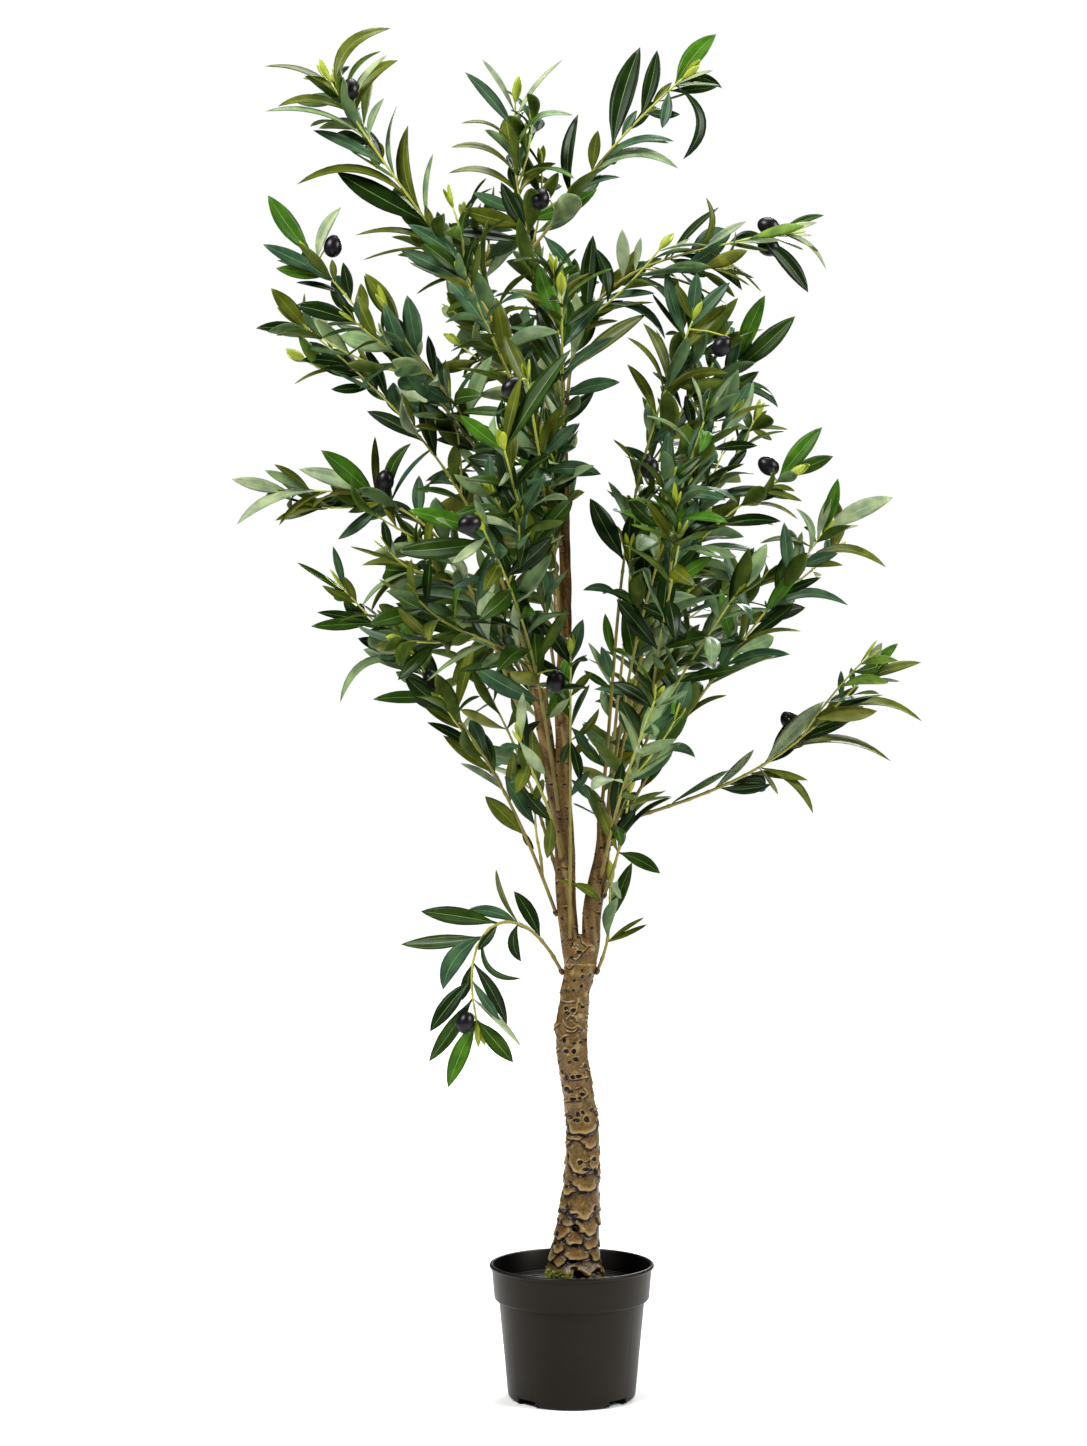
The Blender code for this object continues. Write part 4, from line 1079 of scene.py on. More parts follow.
def seen_leaf(draw, twigs, x, y, tip_x, tip_y, wide, arch):
    """A leaf on the nearest twig whose tip, width and arch are those in the photograph."""
    spots = []
    for number, points in enumerate(twigs):
        for point in points:
            spots.append((np.linalg.norm(seen_place(x, y, point[1]) - point), number, point))
    _, number, root = min(spots, key=lambda spot: spot[0])
    flat = seen_place(tip_x, tip_y, root[1]) - root
    depth = draw.uniform(-SEEN_DEPTH, SEEN_DEPTH) * np.linalg.norm(flat)
    chord = seen_place(tip_x, tip_y, root[1] + depth) - root
    length = np.linalg.norm(chord)
    left = unit(np.cross(chord, Y_AXIS))
    seen_width = wide * PHOTO_SCALE
    least, most = (length * share for share in SEEN_WIDTHS)
    width = min(max(seen_width, least), most)
    facing = min(seen_width / width, MOST_FACING)
    outer = left if arch >= 0 else -left
    if abs(arch) < SLIGHT_ARCH and outer[2] < 0:
        outer = -outer
    face = unit(-Y_AXIS * facing + outer * math.sqrt(1 - facing**2))
    bulge = left * (arch * length / ARCH_PART)
    twist = draw.uniform(-SEEN_TWIST, SEEN_TWIST)
    return number, root, Leaf(root, chord, bulge, face, width, twist)


# Sprays.


def leafy_stretch(points):
    """How far back from its tip a twig carries leaves."""
    return min(LEAFY_LENGTH, route_length(points) * (1 - BARE_SHARE))


def leaf_places(draw, points, seen_until):
    """Where a twig's leaves grow: a tuft at the tip, then pairs, in depth along the seen ones."""
    place, way = walk(points, 0)
    turn = draw.uniform(0, math.pi)
    if not seen_until:
        for number in range(TIP_LEAVES):
            out = sideways(way, turn + number * TURN / TIP_LEAVES)
            yield place - way * TIP_SETBACK, way, out, 0, (TIP_SPREAD, TIP_SPREAD)
    for distance in np.arange(PAIR_SPACING * FIRST_PAIR, leafy_stretch(points), PAIR_SPACING):
        place, way = walk(points, distance)
        turn += math.pi / 2 + draw.uniform(-PAIR_TURN, PAIR_TURN)
        outs = [sideways(way, turn + side) for side in (0, math.pi)]
        if distance < seen_until:
            aside = math.radians(draw.uniform(-FOREGROUND, FOREGROUND))
            deep = unit(Y_AXIS - way * way[1])
            out = deep * math.cos(aside) + np.cross(way, deep) * math.sin(aside)
            outs = [out, -out] if draw.random() < NEAR_SHARE else [out]
        for out in outs:
            yield place, way, out, distance, LEAF_SPREAD


class Space:
    """The cells that the limbs and the blades have taken."""

    RING_POINTS = 64
    ROOT_ROWS = 2  # the rows next to a twig, which take no cells of their own
    OUTLINE_PART = (slice(4, None, 2), (0, 2, 5))  # the rows and columns that keep to the outline

    def __init__(self):
        self.limbs = set()
        self.blades = set()

    @staticmethod
    def cells(points):
        steps = np.floor(points.reshape(-1, 3) / CELL).astype(int) + CELLS_ACROSS // 2
        return set((steps @ (1, CELLS_ACROSS, CELLS_ACROSS**2)).tolist())

    def take_limb(self, name):
        rows = smooth_stations(LIMBS[name], 2)
        turns = np.linspace(0, TURN, self.RING_POINTS)
        for height in np.arange(rows[0, 2], rows[-1, 2], CELL / 2):
            x, y, radius = limb_at(rows, height)
            for share in (0.5, 1.0):
                ring = (x + radius * share * np.cos(turns), y + radius * share * np.sin(turns))
                self.limbs |= self.cells(np.stack((*ring, np.full(len(turns), height)), -1))

    def take(self, leaf, reach):
        """Takes the leaf's cells if it keeps to its reach and off limbs and most other blades."""
        points, _ = blade_points(leaf)
        low, high = reach
        if (points < low).any() or (points > high).any():
            return False
        if not keeps_to_outline(points[self.OUTLINE_PART]):
            return False
        middles = (points[1:] + points[:-1]) / 2
        cells = self.cells(np.concatenate((points[self.ROOT_ROWS :], middles[self.ROOT_ROWS :])))
        if cells & self.limbs or len(cells & self.blades) > SHARED_CELLS * len(cells):
            return False
        self.blades |= cells
        return True

    def keep(self, leaf):
        """Takes the leaf's cells, whatever else is there."""
        self.blades |= self.cells(blade_points(leaf)[0])


def side_twigs(draw, points, reach):
    """Short twigs that leave a stem among its leaves."""
    t = np.linspace(0, 1, SIDE_TWIG_STEPS + 1)[:, None]
    low, high = reach
    for distance in np.arange(SIDE_TWIG_SPACING, leafy_stretch(points), SIDE_TWIG_SPACING):
        if draw.random() > SIDE_TWIG_CHANCE:
            continue
        shift = draw.uniform(-SIDE_TWIG_SHIFT, SIDE_TWIG_SHIFT)
        place, way = walk(points, distance + shift)
        out = sideways(way, draw.uniform(0, TURN))
        lean = math.radians(draw.uniform(*SIDE_TWIG_SPREAD))
        length = draw.uniform(*SIDE_TWIG_LENGTH)
        bend = lean * (1 - SIDE_TWIG_TURNS_BACK * t)
        ways = np.cos(bend) * way + np.sin(bend) * out
        steps = np.cumsum(ways[1:] * length / SIDE_TWIG_STEPS, axis=0)
        twig = place + np.vstack((np.zeros(3), steps))
        if (twig[-1] > low).all() and (twig[-1] < high).all() and keeps_to_outline(twig):
            yield twig


def stem_tube(batch, points, foot_radius, values):
    """A stem with a nub at each pair of leaves."""
    along = distances(points)
    fine = np.append(np.arange(0, along[-1], NUB_LENGTH), along[-1])
    to_tip = np.interp(fine, along, along[-1] - along)
    radii = np.interp(fine, along, np.linspace(foot_radius, STEM_TIP_RADIUS, len(points)))
    past = (to_tip - PAIR_SPACING * FIRST_PAIR) % PAIR_SPACING
    near = np.minimum(past, PAIR_SPACING - past)
    leafy = to_tip < LEAFY_LENGTH
    radii *= 1 + (NUB_SIZE - 1) * np.exp(-((near / NUB_LENGTH) ** 2)) * leafy
    keep = (near < NUB_REACH * NUB_LENGTH) & leafy
    keep |= np.arange(len(fine)) % PLAIN_STEP == 0
    keep[[0, -1]] = True
    values = np.interp(fine, along, np.linspace(*values, len(points)))
    centres = at_distances(fine, along, points)
    tube(batch, centres[keep], radii[keep], STEM_SIDES, values[keep])


def add_socket(batch, foot, way):
    """The moulded knob in which a stem is plugged."""
    shares = np.linspace(0, 1, SOCKET_RINGS)
    places = foot + np.outer(SOCKET_LENGTH * (shares - 0.5), way)
    radii = SOCKET_RADIUS * np.sqrt(np.maximum(1 - (2 * shares - 1) ** 2, 0.02))
    tube(batch, places, radii, SOCKET_SIDES, 0.5 * np.sin(9 * shares + 40 * foot[2]))


def add_bud(batch, draw, place, way):
    """Two young leaflets, upright and folded together, at a twig's tip."""
    turn = draw.uniform(0, TURN)
    for side in (0, math.pi):
        out = sideways(way, turn + side)
        along = unit(way + out * BUD_SPREAD)
        length = draw.uniform(*BUD_LENGTH)
        face = unit(along * (out @ along) - out)
        bulge = face * length * BUD_BULGE
        root = place - way * BUD_SETBACK
        add_blade(batch, Leaf(root, along * length, bulge, face, length * BUD_WIDTH, 0))


def spray_twigs(spray):
    """The route of a spray's stem and forks, each with the radius of its foot and its values."""
    *place, leave, arrive = spray.stem
    tip = np.array(place)
    stem = route(seat(spray.limb, spray.foot, tip, leave), tip, leave, arrive)
    twigs = [(stem, STEM_FOOT_RADIUS, STEM_VALUES)]
    for *place, leave, arrive, share in spray.forks:
        foot, _ = walk(stem, (1 - share) * route_length(stem))
        fork = route(foot, np.array(place), leave, arrive)
        twigs.append((fork, FORK_RADIUS, (share * FORK_VALUE, 1.0)))
    return twigs


def spray_reach(name):
    """The box in which a spray's leaves keep: its solid's, a little wider, inside the whole."""
    low, high = (np.array(corner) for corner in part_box(name))
    whole_low, whole_high = (np.array(corner) for corner in cad_box)
    margin = np.full(3, REACH_MARGIN)
    return np.maximum(low - margin, whole_low), np.minimum(high + margin, whole_high)


def fitting_leaf(draw, space, reach, spread, *place):
    """A leaf that finds room at this place, or None."""
    for _ in range(TRIES):
        leaf = make_leaf(draw, *place, draw.uniform(*spread))
        if space.take(leaf, reach):
            return leaf
    return None


def grow_spray(parts, space, number, name):
    """Adds a spray to the parts, and returns the routes of its stem and forks."""
    draw = random.Random(SEED + number)
    tone_draw = random.Random(SEED * 100 + number)
    reach = spray_reach(name)
    twigs = spray_twigs(SPRAYS[name])
    routes = [points for points, _, _ in twigs]
    for points in routes:
        twigs += [(twig, TWIG_RADIUS, TWIG_VALUES) for twig in side_twigs(draw, points, reach)]
    stem = routes[0]
    plug = stem[0] + unit(stem[0] - stem[1]) * STEM_PLUG
    stem_tube(parts["stems"], np.vstack((plug, stem)), STEM_FOOT_RADIUS, STEM_VALUES)
    for points, radius, values in twigs[1:]:
        stem_tube(parts["stems"], points, radius, values)
    add_socket(parts["sockets"], stem[0], unit(stem[1] - stem[0]))

    seen_until = [0.0] * len(twigs)
    for x, y, tip_x, tip_y, wide, tone, arch in SEEN.get(name, ()):
        on_twig, root, leaf = seen_leaf(draw, routes, x, y, tip_x, tip_y, wide, arch)
        add_blade(parts[tone], leaf, BLADE_KINDS, BLADE_SPOTS)
        space.keep(leaf)
        reached = from_tip(routes[on_twig], root) + PAIR_SPACING
        seen_until[on_twig] = max(seen_until[on_twig], reached)

    for (points, _, _), seen_to in zip(twigs, seen_until):
        add_bud(parts["buds"], draw, *walk(points, 0))
        for root, way, out, distance, spread in leaf_places(draw, points, seen_to):
            if draw.random() > np.interp(root[2], THIN_BETWEEN, (THINNEST, 1)):
                continue
            leaf = fitting_leaf(draw, space, reach, spread, root, way, out, distance)
            if leaf:
                tone = tone_draw.choices(list(TONES), TONE_WEIGHTS)[0]
                add_blade(parts[tone], leaf, BLADE_KINDS, BLADE_SPOTS)
    return routes


def add_olive(batch, place, lean, draw):
    """Adds a smooth olive, and returns the place where its stalk ends."""
    half_width, half_length = OLIVE_SIZE
    up = unit(np.array((math.sin(lean), draw.uniform(-OLIVE_SWING, OLIVE_SWING), math.cos(lean))))
    first = sideways(up, 0)
    angles = np.linspace(-math.pi / 2, math.pi / 2, OLIVE_RINGS)
    heights = half_length * np.sin(angles)
    radii = half_width * np.cos(angles) * (1 - 0.06 * np.sin(angles))
    radii = np.maximum(radii, 0.0003)
    turns = turns_round(OLIVE_SIDES)
    ring = np.outer(np.cos(turns), first) + np.outer(np.sin(turns), np.cross(up, first))
    rings = place + heights[:, None, None] * up + radii[:, None, None] * ring
    below, above = OLIVE_TIPS
    ends = np.stack((place - up * half_length * below, place + up * half_length * above))
    batch.add(np.vstack((rings.reshape(-1, 3), ends)), closed_faces(OLIVE_RINGS, OLIVE_SIDES))
    return place + up * half_length * 0.95


def nearest_point(place, routes):
    points = np.concatenate(routes)
    return points[np.linalg.norm(points - place, axis=1).argmin()]


def hang_olives(parts, routes):
    draw = random.Random(SEED)
    radii = STALK_RADIUS * np.array((1.4, 1.0, 1.3))
    for *middle, lean in OLIVES:
        place = np.array(middle)
        foot = nearest_point(place, routes)
        top = add_olive(parts["olives"], place, math.radians(lean), draw)
        bend = (foot + top) / 2 + Z_AXIS * STALK_RISE
        tube(parts["stems"], (foot, bend, top), radii, STALK_SIDES, np.full(3, STALK_VALUE))


def make_sprays():
    space = Space()
    for name in LIMBS:
        space.take_limb(name)
    parts = {kind: Batch() for kind in ("stems", "buds", "sockets", "olives", *TONES)}
    routes = []
    for number, name in enumerate(SPRAYS):
        routes += grow_spray(parts, space, number, name)
    hang_olives(parts, routes)
    bud_stops = ((0.3, "#7f8f1c"), (0.7, "#a3ae30"))
    olive_stops = ((0.35, "#0a080b"), (0.7, "#171219"))
    looks = {
        "stems": [stem_look()],
        "buds": [plain_look("bud", 0.4, 0.35, 80.0, bud_stops).material],
        "sockets": [bark_look("socket", "#6e4426", "#4a2c18", "#24150b")],
        "olives": [plain_look("olive_skin", 0.33, 0.22, 60.0, olive_stops).material],
    }
    for tone, (top, rib, under) in TONES.items():
        looks[tone] = [
            blade_look("leaf_" + tone, top, 0.34, 0.13),
            rib_look("rib_" + tone, rib),
            blade_look("under_" + tone, under, 0.50, 0.06),
        ]
    for kind, batch in parts.items():
        name = "leaves_" + kind if kind in TONES else kind
        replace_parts(batch.piece(name, looks[kind], "foliage"), *SPRAYS)


# Bark.

SKIN_STEPS = 12  # rows between two stations of a limb
DOME_SHARES = (0.35, 0.65, 0.85)  # where a limb's top dome has rings, from its edge inwards


def wrapped(angles):
    return (angles + math.pi) % TURN - math.pi


def bell(values):
    return np.exp(-(values**2))


class Surface:
    """A limb's skin as a grid of heights and turns, with its relief and its value, which paints shade
    and highlights into the bark's colour.
    """

    def __init__(self, stations, step, columns):
        rows = smooth_stations(stations, SKIN_STEPS)
        self.heights = np.arange(rows[0, 2], rows[-1, 2] + step / 2, step)[:, None]
        self.turns = turns_round(columns)[None, :]
        self.x, self.y, self.radius = (row[:, None] for row in limb_at(rows, self.heights[:, 0]))
        self.relief = np.zeros((len(self.heights), columns))
        self.value = np.zeros_like(self.relief)

    def at(self, height):
        """The axis and the radius at a height."""
        levels = self.heights[:, 0]
        return (np.interp(height, levels, row[:, 0]) for row in (self.x, self.y, self.radius))

    def radius_at(self, height):
        return np.interp(height, self.heights[:, 0], self.radius[:, 0])

    def seen(self, x, y):
        """The turn and height of the front skin at a pixel of the photograph."""
        across = (x - PHOTO_MIDDLE[0]) * PHOTO_SCALE
        height = (PHOTO_MIDDLE[1] - y) * PHOTO_SCALE
        middle_x, middle_y, radius = self.at(height)
        share = 1 - (middle_y - radius * 0.9) / CAMERA_PLACE[1]
        across = CAMERA_PLACE[0] + (across - CAMERA_PLACE[0]) * share
        height = CAMERA_PLACE[2] + (height - CAMERA_PLACE[2]) * share
        return -math.acos(min(max((across - middle_x) / radius, -0.97), 0.97)), height

    def offsets(self, turn, height):
        """Distances round and up from a place, over the whole skin."""
        return wrapped(self.turns - turn) * self.radius_at(height), self.heights - height

    def pit(self, turn, height, wide, tall, depth, lip=0.22):
        """A hole painted dark as shade, with a soft painted shade round it, whose raised lip is
        highest above it.
        """
        round_by, up_by = self.offsets(turn, height)
        distance = np.hypot(round_by / wide, up_by / tall)
        angle = np.arctan2(up_by / tall, round_by / wide)
        for waves, uneven in ((2, 0.09), (3, 0.07)):
            distance = distance * (1 + uneven * np.sin(waves * angle + 50 * turn + 2000 * height))
        hole = np.exp(-(distance**4))
        rim = bell((distance - 1.5) / 0.4) * (0.6 + 0.4 * np.tanh(up_by / tall))
        self.relief += depth * (lip * rim - hole)
        # The hole is painted dark as shade, and a soft painted shade spreads round it.
        self.value += hole + 0.22 * bell(distance / 1.9)

    def bump(self, turn, height, wide, tall, rise):
        round_by, up_by = self.offsets(turn, height)
        self.relief += rise * np.exp(-((round_by / wide) ** 2) - (up_by / tall) ** 2)

    def fold(self, places, width, rise):
        """A raised line along some places, with a groove along its lower side that is painted dark as
        shade.
        """
        turn, height = places[0]
        round_by, up_by = self.offsets(turn, height)
        radius = self.radius_at(height)
        line = smooth_stations([(wrapped(t - turn) * radius, h - height) for t, h in places], 4)
        near = np.full(self.relief.shape, np.inf)
        below = np.zeros(self.relief.shape)
        for (x1, y1), (x2, y2) in zip(line, line[1:]):
            along = (round_by - x1) * (x2 - x1) + (up_by - y1) * (y2 - y1)
            along = np.clip(along / ((x2 - x1) ** 2 + (y2 - y1) ** 2), 0, 1)
            away_x = round_by - x1 - along * (x2 - x1)
            away_y = up_by - y1 - along * (y2 - y1)
            distance = np.hypot(away_x, away_y)
            below = np.where(distance < near, -away_y, below)
            near = np.minimum(distance, near)
        groove = bell((near - 1.7 * width) / width) * np.clip(below / width, 0, 1)
        self.relief += rise * (bell(near / width) - 0.9 * groove)
        # The groove under the line is painted darker as shade.
        self.value += 0.35 * groove

    def scale(self, draw, turn, height, wide, tall, rise):
        """A lobe that grows out downwards and ends in a ragged overhanging edge, with painted shade in
        the crevice and a painted shadow below that edge, and a painted highlight on its lip.
        """
        round_by, up_by = self.offsets(turn, height)
        across, up = round_by / wide, up_by / tall
        angle = np.arctan2(up, across)
        reach = np.hypot(across, up)
        for waves in (3, 5, 8):
            reach += 0.13 / waves**0.5 * np.sin(waves * angle + draw.uniform(0, TURN))
        soft = 0.04 + 0.24 * np.clip(up + 0.25, 0, 1)
        lobe = 1 / (1 + np.exp(np.clip((reach - 1) / soft, -40, 40)))
        self.relief = self.relief * (1 - 0.8 * lobe) + rise * (0.42 - 0.58 * up) * lobe
        under = np.clip(0.25 - up, 0, 1)
        crevice = bell((reach - 1.13) / 0.10) * under
        lip = bell((reach - 0.90) / 0.07) * under
        shade = bell((reach - 1.22) / 0.30) * under
        self.relief += rise * (0.20 * lip - 0.35 * crevice)
        # Painted shade in the crevice, a painted shadow below the edge and a painted highlight on the
        # lip.
        self.value = self.value * (1 - lobe) + 0.22 * crevice + 0.34 * shade - 0.16 * lip

    def seam(self, draw, height, rise, width):
        """A faint wavering mould line round the limb."""
        line = height + 0.0007 * np.sin(self.turns + draw.uniform(0, TURN))
        line = line + 0.0004 * np.sin(3 * self.turns)
        near = bell((self.heights - line) / width)
        self.relief += rise * near
        self.value -= 0.15 * near

    def grain(self, draw, rise, length):
        """Soft unevenness all over."""
        for number in range(1, 11):
            turns = draw.choice((1, 2, 3, 4, 5, 7))
            lift = draw.uniform(0.4, 2.2) * TURN / length
            wave = np.sin(turns * self.turns + lift * self.heights + draw.uniform(0, TURN))
            self.relief += rise / number**0.5 * wave * 0.5

    def roughen(self, draw, count, size, rise):
        """Scatters small knobs and dents."""
        for _ in range(count):
            wide, tall = (size * draw.uniform(0.5, 1.6) for _ in range(2))
            turn, height = draw.uniform(0, TURN), draw.uniform(*TRUNK_SPAN)
            self.bump(turn, height, wide, tall, rise * draw.uniform(-1, 1))

    def paint_relief_shading(self, depth):
        """Paints shade on what lies lower than the skin around it, and a highlight on what stands out.
        """
        around = self.relief.copy()
        for _ in range(3):
            for steps in (1, 2, 3):
                sides = np.roll(around, steps, 1) + np.roll(around, -steps, 1)
                rows = np.pad(around, ((steps, steps), (0, 0)), mode="edge")
                around = (around + sides + rows[: -2 * steps] + rows[2 * steps :]) / 5
        self.value += np.clip((around - self.relief) / depth, -0.5, 0.55)

    def add_to(self, batch, dome):
        """Adds the skin, closed at both ends, with a low dome on top."""
        reach = self.radius + self.relief
        across, deep = self.x + reach * np.cos(self.turns), self.y + reach * np.sin(self.turns)
        points = np.stack((across, deep, np.broadcast_to(self.heights, reach.shape)), -1)
        values = self.value
        top, middle = points[-1], points[-1].mean(axis=0)
        for share in DOME_SHARES:
            ring = middle + (top - middle) * math.cos(share * math.pi / 2)
            ring[:, 2] += dome * math.sin(share * math.pi / 2)
            points = np.concatenate((points, ring[None]))
            values = np.concatenate((values, values[-1:]))
        ends = np.stack((points[0].mean(axis=0), points[-1].mean(axis=0)))
        values_there = np.concatenate((values.ravel(), [values[0].mean(), values[-1].mean()]))
        batch.add(
            np.vstack((points.reshape(-1, 3), ends)),
            closed_faces(*values.shape),
            values=values_there,
        )


# What the photograph shows on the trunk's front, in pixels: pits with their widths and
# heights, scales with their half widths and half heights, and folds.
TRUNK_PITS = (
    (582, 976, 3, 4), (590, 975, 3, 4), (574, 980, 3, 4), (581, 986, 4, 4), (573, 990, 4, 3),
    (589, 992, 3, 3), (564, 991, 3, 3), (565, 1008, 4, 4), (566, 1013, 5, 4), (573, 1010, 6, 4),
    (583, 1007, 4, 3), (564, 1040, 4, 6), (574, 1043, 5, 3), (581, 1042, 5, 3), (587, 1040, 3, 4),
    (566, 1051, 6, 4), (574, 1051, 5, 5), (576, 1059, 8, 4), (570, 1062, 5, 3), (586, 1066, 4, 5),
    (562, 1072, 3, 4), (567, 1077, 4, 4), (573, 1077, 5, 4), (579, 1076, 6, 4), (567, 1090, 7, 6),
    (572, 1091, 3, 4), (583, 1094, 6, 4), (573, 1099, 7, 4), (580, 1098, 4, 3), (562, 1086, 3, 3),
    (578, 1114, 4, 6), (583, 1112, 4, 4), (570, 1117, 5, 4), (587, 1119, 6, 6), (576, 1120, 8, 4),
    (593, 1110, 4, 4), (579, 952, 6, 4), (571, 957, 4, 3), (582, 970, 3, 3), (569, 1129, 3, 3),
    (580, 1162, 5, 5), (594, 1159, 5, 4), (568, 1156, 3, 6), (586, 1169, 8, 4), (596, 1173, 3, 5),
    (569, 1182, 4, 3), (566, 1187, 3, 5), (571, 1186, 4, 4), (595, 1209, 4, 6), (567, 1207, 3, 8),
    (574, 1215, 8, 5), (562, 1210, 6, 3), (575, 1228, 11, 7), (563, 1241, 5, 5), (575, 1245, 10, 4),
    (573, 1261, 13, 4), (557, 1235, 3, 5), (574, 1268, 8, 4), (598, 1273, 6, 7),
)
TRUNK_SCALES = (
    (582, 1124, 16, 10), (591, 1141, 7, 7), (572, 1136, 8, 4), (580, 1161, 12, 12), (595, 1156, 5, 14),
    (586, 1181, 12, 10), (568, 1186, 7, 9), (582, 1207, 15, 11), (584, 1209, 8, 7), (563, 1203, 5, 9),
    (589, 1225, 10, 10), (567, 1221, 6, 5), (560, 1230, 6, 10), (573, 1238, 9, 7), (592, 1241, 8, 8),
    (557, 1246, 5, 8), (577, 1253, 12, 7), (558, 1258, 7, 8), (597, 1253, 5, 9), (586, 1267, 8, 9),
)
TRUNK_FOLDS = (
    ((570, 957), (576, 959), (581, 953), (588, 946)),
    ((574, 945), (575, 937), (580, 936), (583, 942), (588, 946)),
    ((568, 958), (566, 964), (569, 968), (572, 965)),
    ((572, 1017), (576, 1010), (578, 1001), (583, 1006)),
    ((562, 1001), (567, 1002), (574, 1001)),
    ((562, 1020), (566, 1026), (573, 1028), (578, 1025), (580, 1029)),
    ((566, 1019), (570, 1015), (575, 1017), (577, 1021)),
    ((559, 1024), (556, 1030), (557, 1034)),
    ((567, 1031), (574, 1031), (579, 1026), (582, 1029)),
    ((560, 1039), (564, 1036), (567, 1035)),
    ((581, 1067), (585, 1064), (587, 1069)),
    ((585, 1088), (588, 1094), (583, 1098), (576, 1100), (566, 1101), (560, 1102)),
    ((576, 1088), (581, 1086)),
    ((564, 1077), (572, 1079), (580, 1078), (589, 1077)),
    ((565, 1137), (572, 1139), (580, 1140), (584, 1144)),
    ((569, 1153), (571, 1164), (575, 1171), (580, 1173)),
    ((585, 1161), (590, 1159), (592, 1157)),
)
TRUNK_CROTCH = ((0.010, 0.001, 0.499, 0.0140), (0.010, 0.001, 0.506, 0.0050))
TRUNK_SPAN = (0.125, 0.495)
TRUNK_STEP = 0.00075
TRUNK_COLUMNS = 168
TRUNK_SEEN_FROM = 0.35  # cosine of the turn from the front up to which its pits are placed
TRUNK_SUNK = 0.0006  # keeps the relief's peaks near the solid's skin
PIT_SHARE = 0.41  # a pit's half width, as a share of the dark patch that shows
SCALE_RISE = 0.19
SCALE_ROWS = (0.130, 0.322, 0.0135)
SCALE_GAP = 0.021
SCALE_SIZES = (0.007, 0.0135)
UPPER_PITS = (0.315, 0.478, 0.0125, 0.0085, 0.0021)  # from, to, row step, gap, size
LOWER_PITS = (0.140, 0.315, 0.026, 0.024, 0.0024)
FOLD_SIZE = (0.0008, 0.0009)
SEAM_HEIGHT = 0.4745
BOUGH_STEP = 0.0012
BOUGH_FINE_PITS = 0.80  # the height above which a bough's pits are finer
BOUGH_PITS = (0.013, 0.013, 0.0013)  # row step, gap, size
FINE_PITS = (0.024, 0.016, 0.0008)
LEADER_SEAM = 0.567
# Each limb's columns, the station added below it, and the height from which its colour is that
# of the upper limbs. The dome on its top is BOUGH_DOME.
BOUGHS = {
    "left_bough": (48, [(0.002, 0.0, 0.468, 0.0092)], 0.76),
    "right_bough": (48, [(0.017, 0.0, 0.468, 0.0090)], 0.70),
    "cut_bough": (44, [], 0.90),
}
TRUNK_DOME = 0.001
BOUGH_DOME = 0.0012


def off_front(turn):
    return math.cos(turn - FRONT) < TRUNK_SEEN_FROM


def pit_rows(surface, draw, low, high, row_step, gap, size, keeps=lambda turn: True):
    """Loose rows of pits round the limb, some of them with a curled fold above."""
    for height in np.arange(low, high, row_step):
        radius = surface.radius_at(height)
        count = max(2, round(TURN * radius / gap))
        first = draw.uniform(0, TURN)
        for number in range(count):
            turn = first + TURN * (number + draw.uniform(-0.3, 0.3)) / count
            wide = size * draw.uniform(0.75, 1.5)
            tall = size * draw.uniform(0.6, 1.1)
            place = height + draw.uniform(-0.3, 0.3) * row_step
            chance = draw.random()
            if chance < 0.25 or not keeps(turn):
                continue
            surface.pit(turn, place, wide, tall, size * 1.1)
            if chance > 0.8:
                across = wide / radius * draw.uniform(1.5, 3.0)
                bend = draw.uniform(-1, 1) * tall
                top = place + tall * 1.8
                line = [(turn + across * s, top + bend * s**2) for s in (-1, -0.3, 0.4, 1)]
                surface.fold(line, size * 0.45, size * 0.5)


def trunk_scales(surface, draw):
    """The seen scales and, round the rest of the trunk, more of their kind, from the lowest up."""
    scales = []
    for x, y, wide, tall in TRUNK_SCALES:
        turn, height = surface.seen(x, y)
        facing = max(0.45, math.cos(turn - FRONT))
        scales.append((height, turn, wide * PHOTO_SCALE / facing, tall * PHOTO_SCALE))
    for height in np.arange(*SCALE_ROWS):
        count = max(4, round(TURN * surface.radius_at(height) / SCALE_GAP))
        first = draw.uniform(0, TURN)
        for number in range(count):
            turn = first + TURN * (number + draw.uniform(-0.3, 0.3)) / count
            size = draw.uniform(*SCALE_SIZES) * (1.15 - 1.6 * (height - SCALE_ROWS[0]))
            place = height + draw.uniform(-0.005, 0.005)
            tall = draw.uniform(0.7, 1.05)
            if off_front(turn):
                scales.append((place, turn, size, size * tall))
    for height, turn, wide, tall in sorted(scales):
        surface.scale(draw, turn, height, wide, tall, SCALE_RISE * math.sqrt(wide * tall))


def trunk_foot(surface):
    """The knob on the trunk's left, and the lobe and the hollow at its foot."""
    surface.bump(*surface.seen(553, 1029), wide=0.005, tall=0.007, rise=0.0035)
    surface.pit(*surface.seen(555, 1029), wide=0.002, tall=0.0032, depth=0.0025)
    surface.bump(*surface.seen(598, 1271), wide=0.006, tall=0.008, rise=0.0035)
    surface.pit(*surface.seen(579, 1277), wide=0.0075, tall=0.0062, depth=0.0050, lip=0.5)


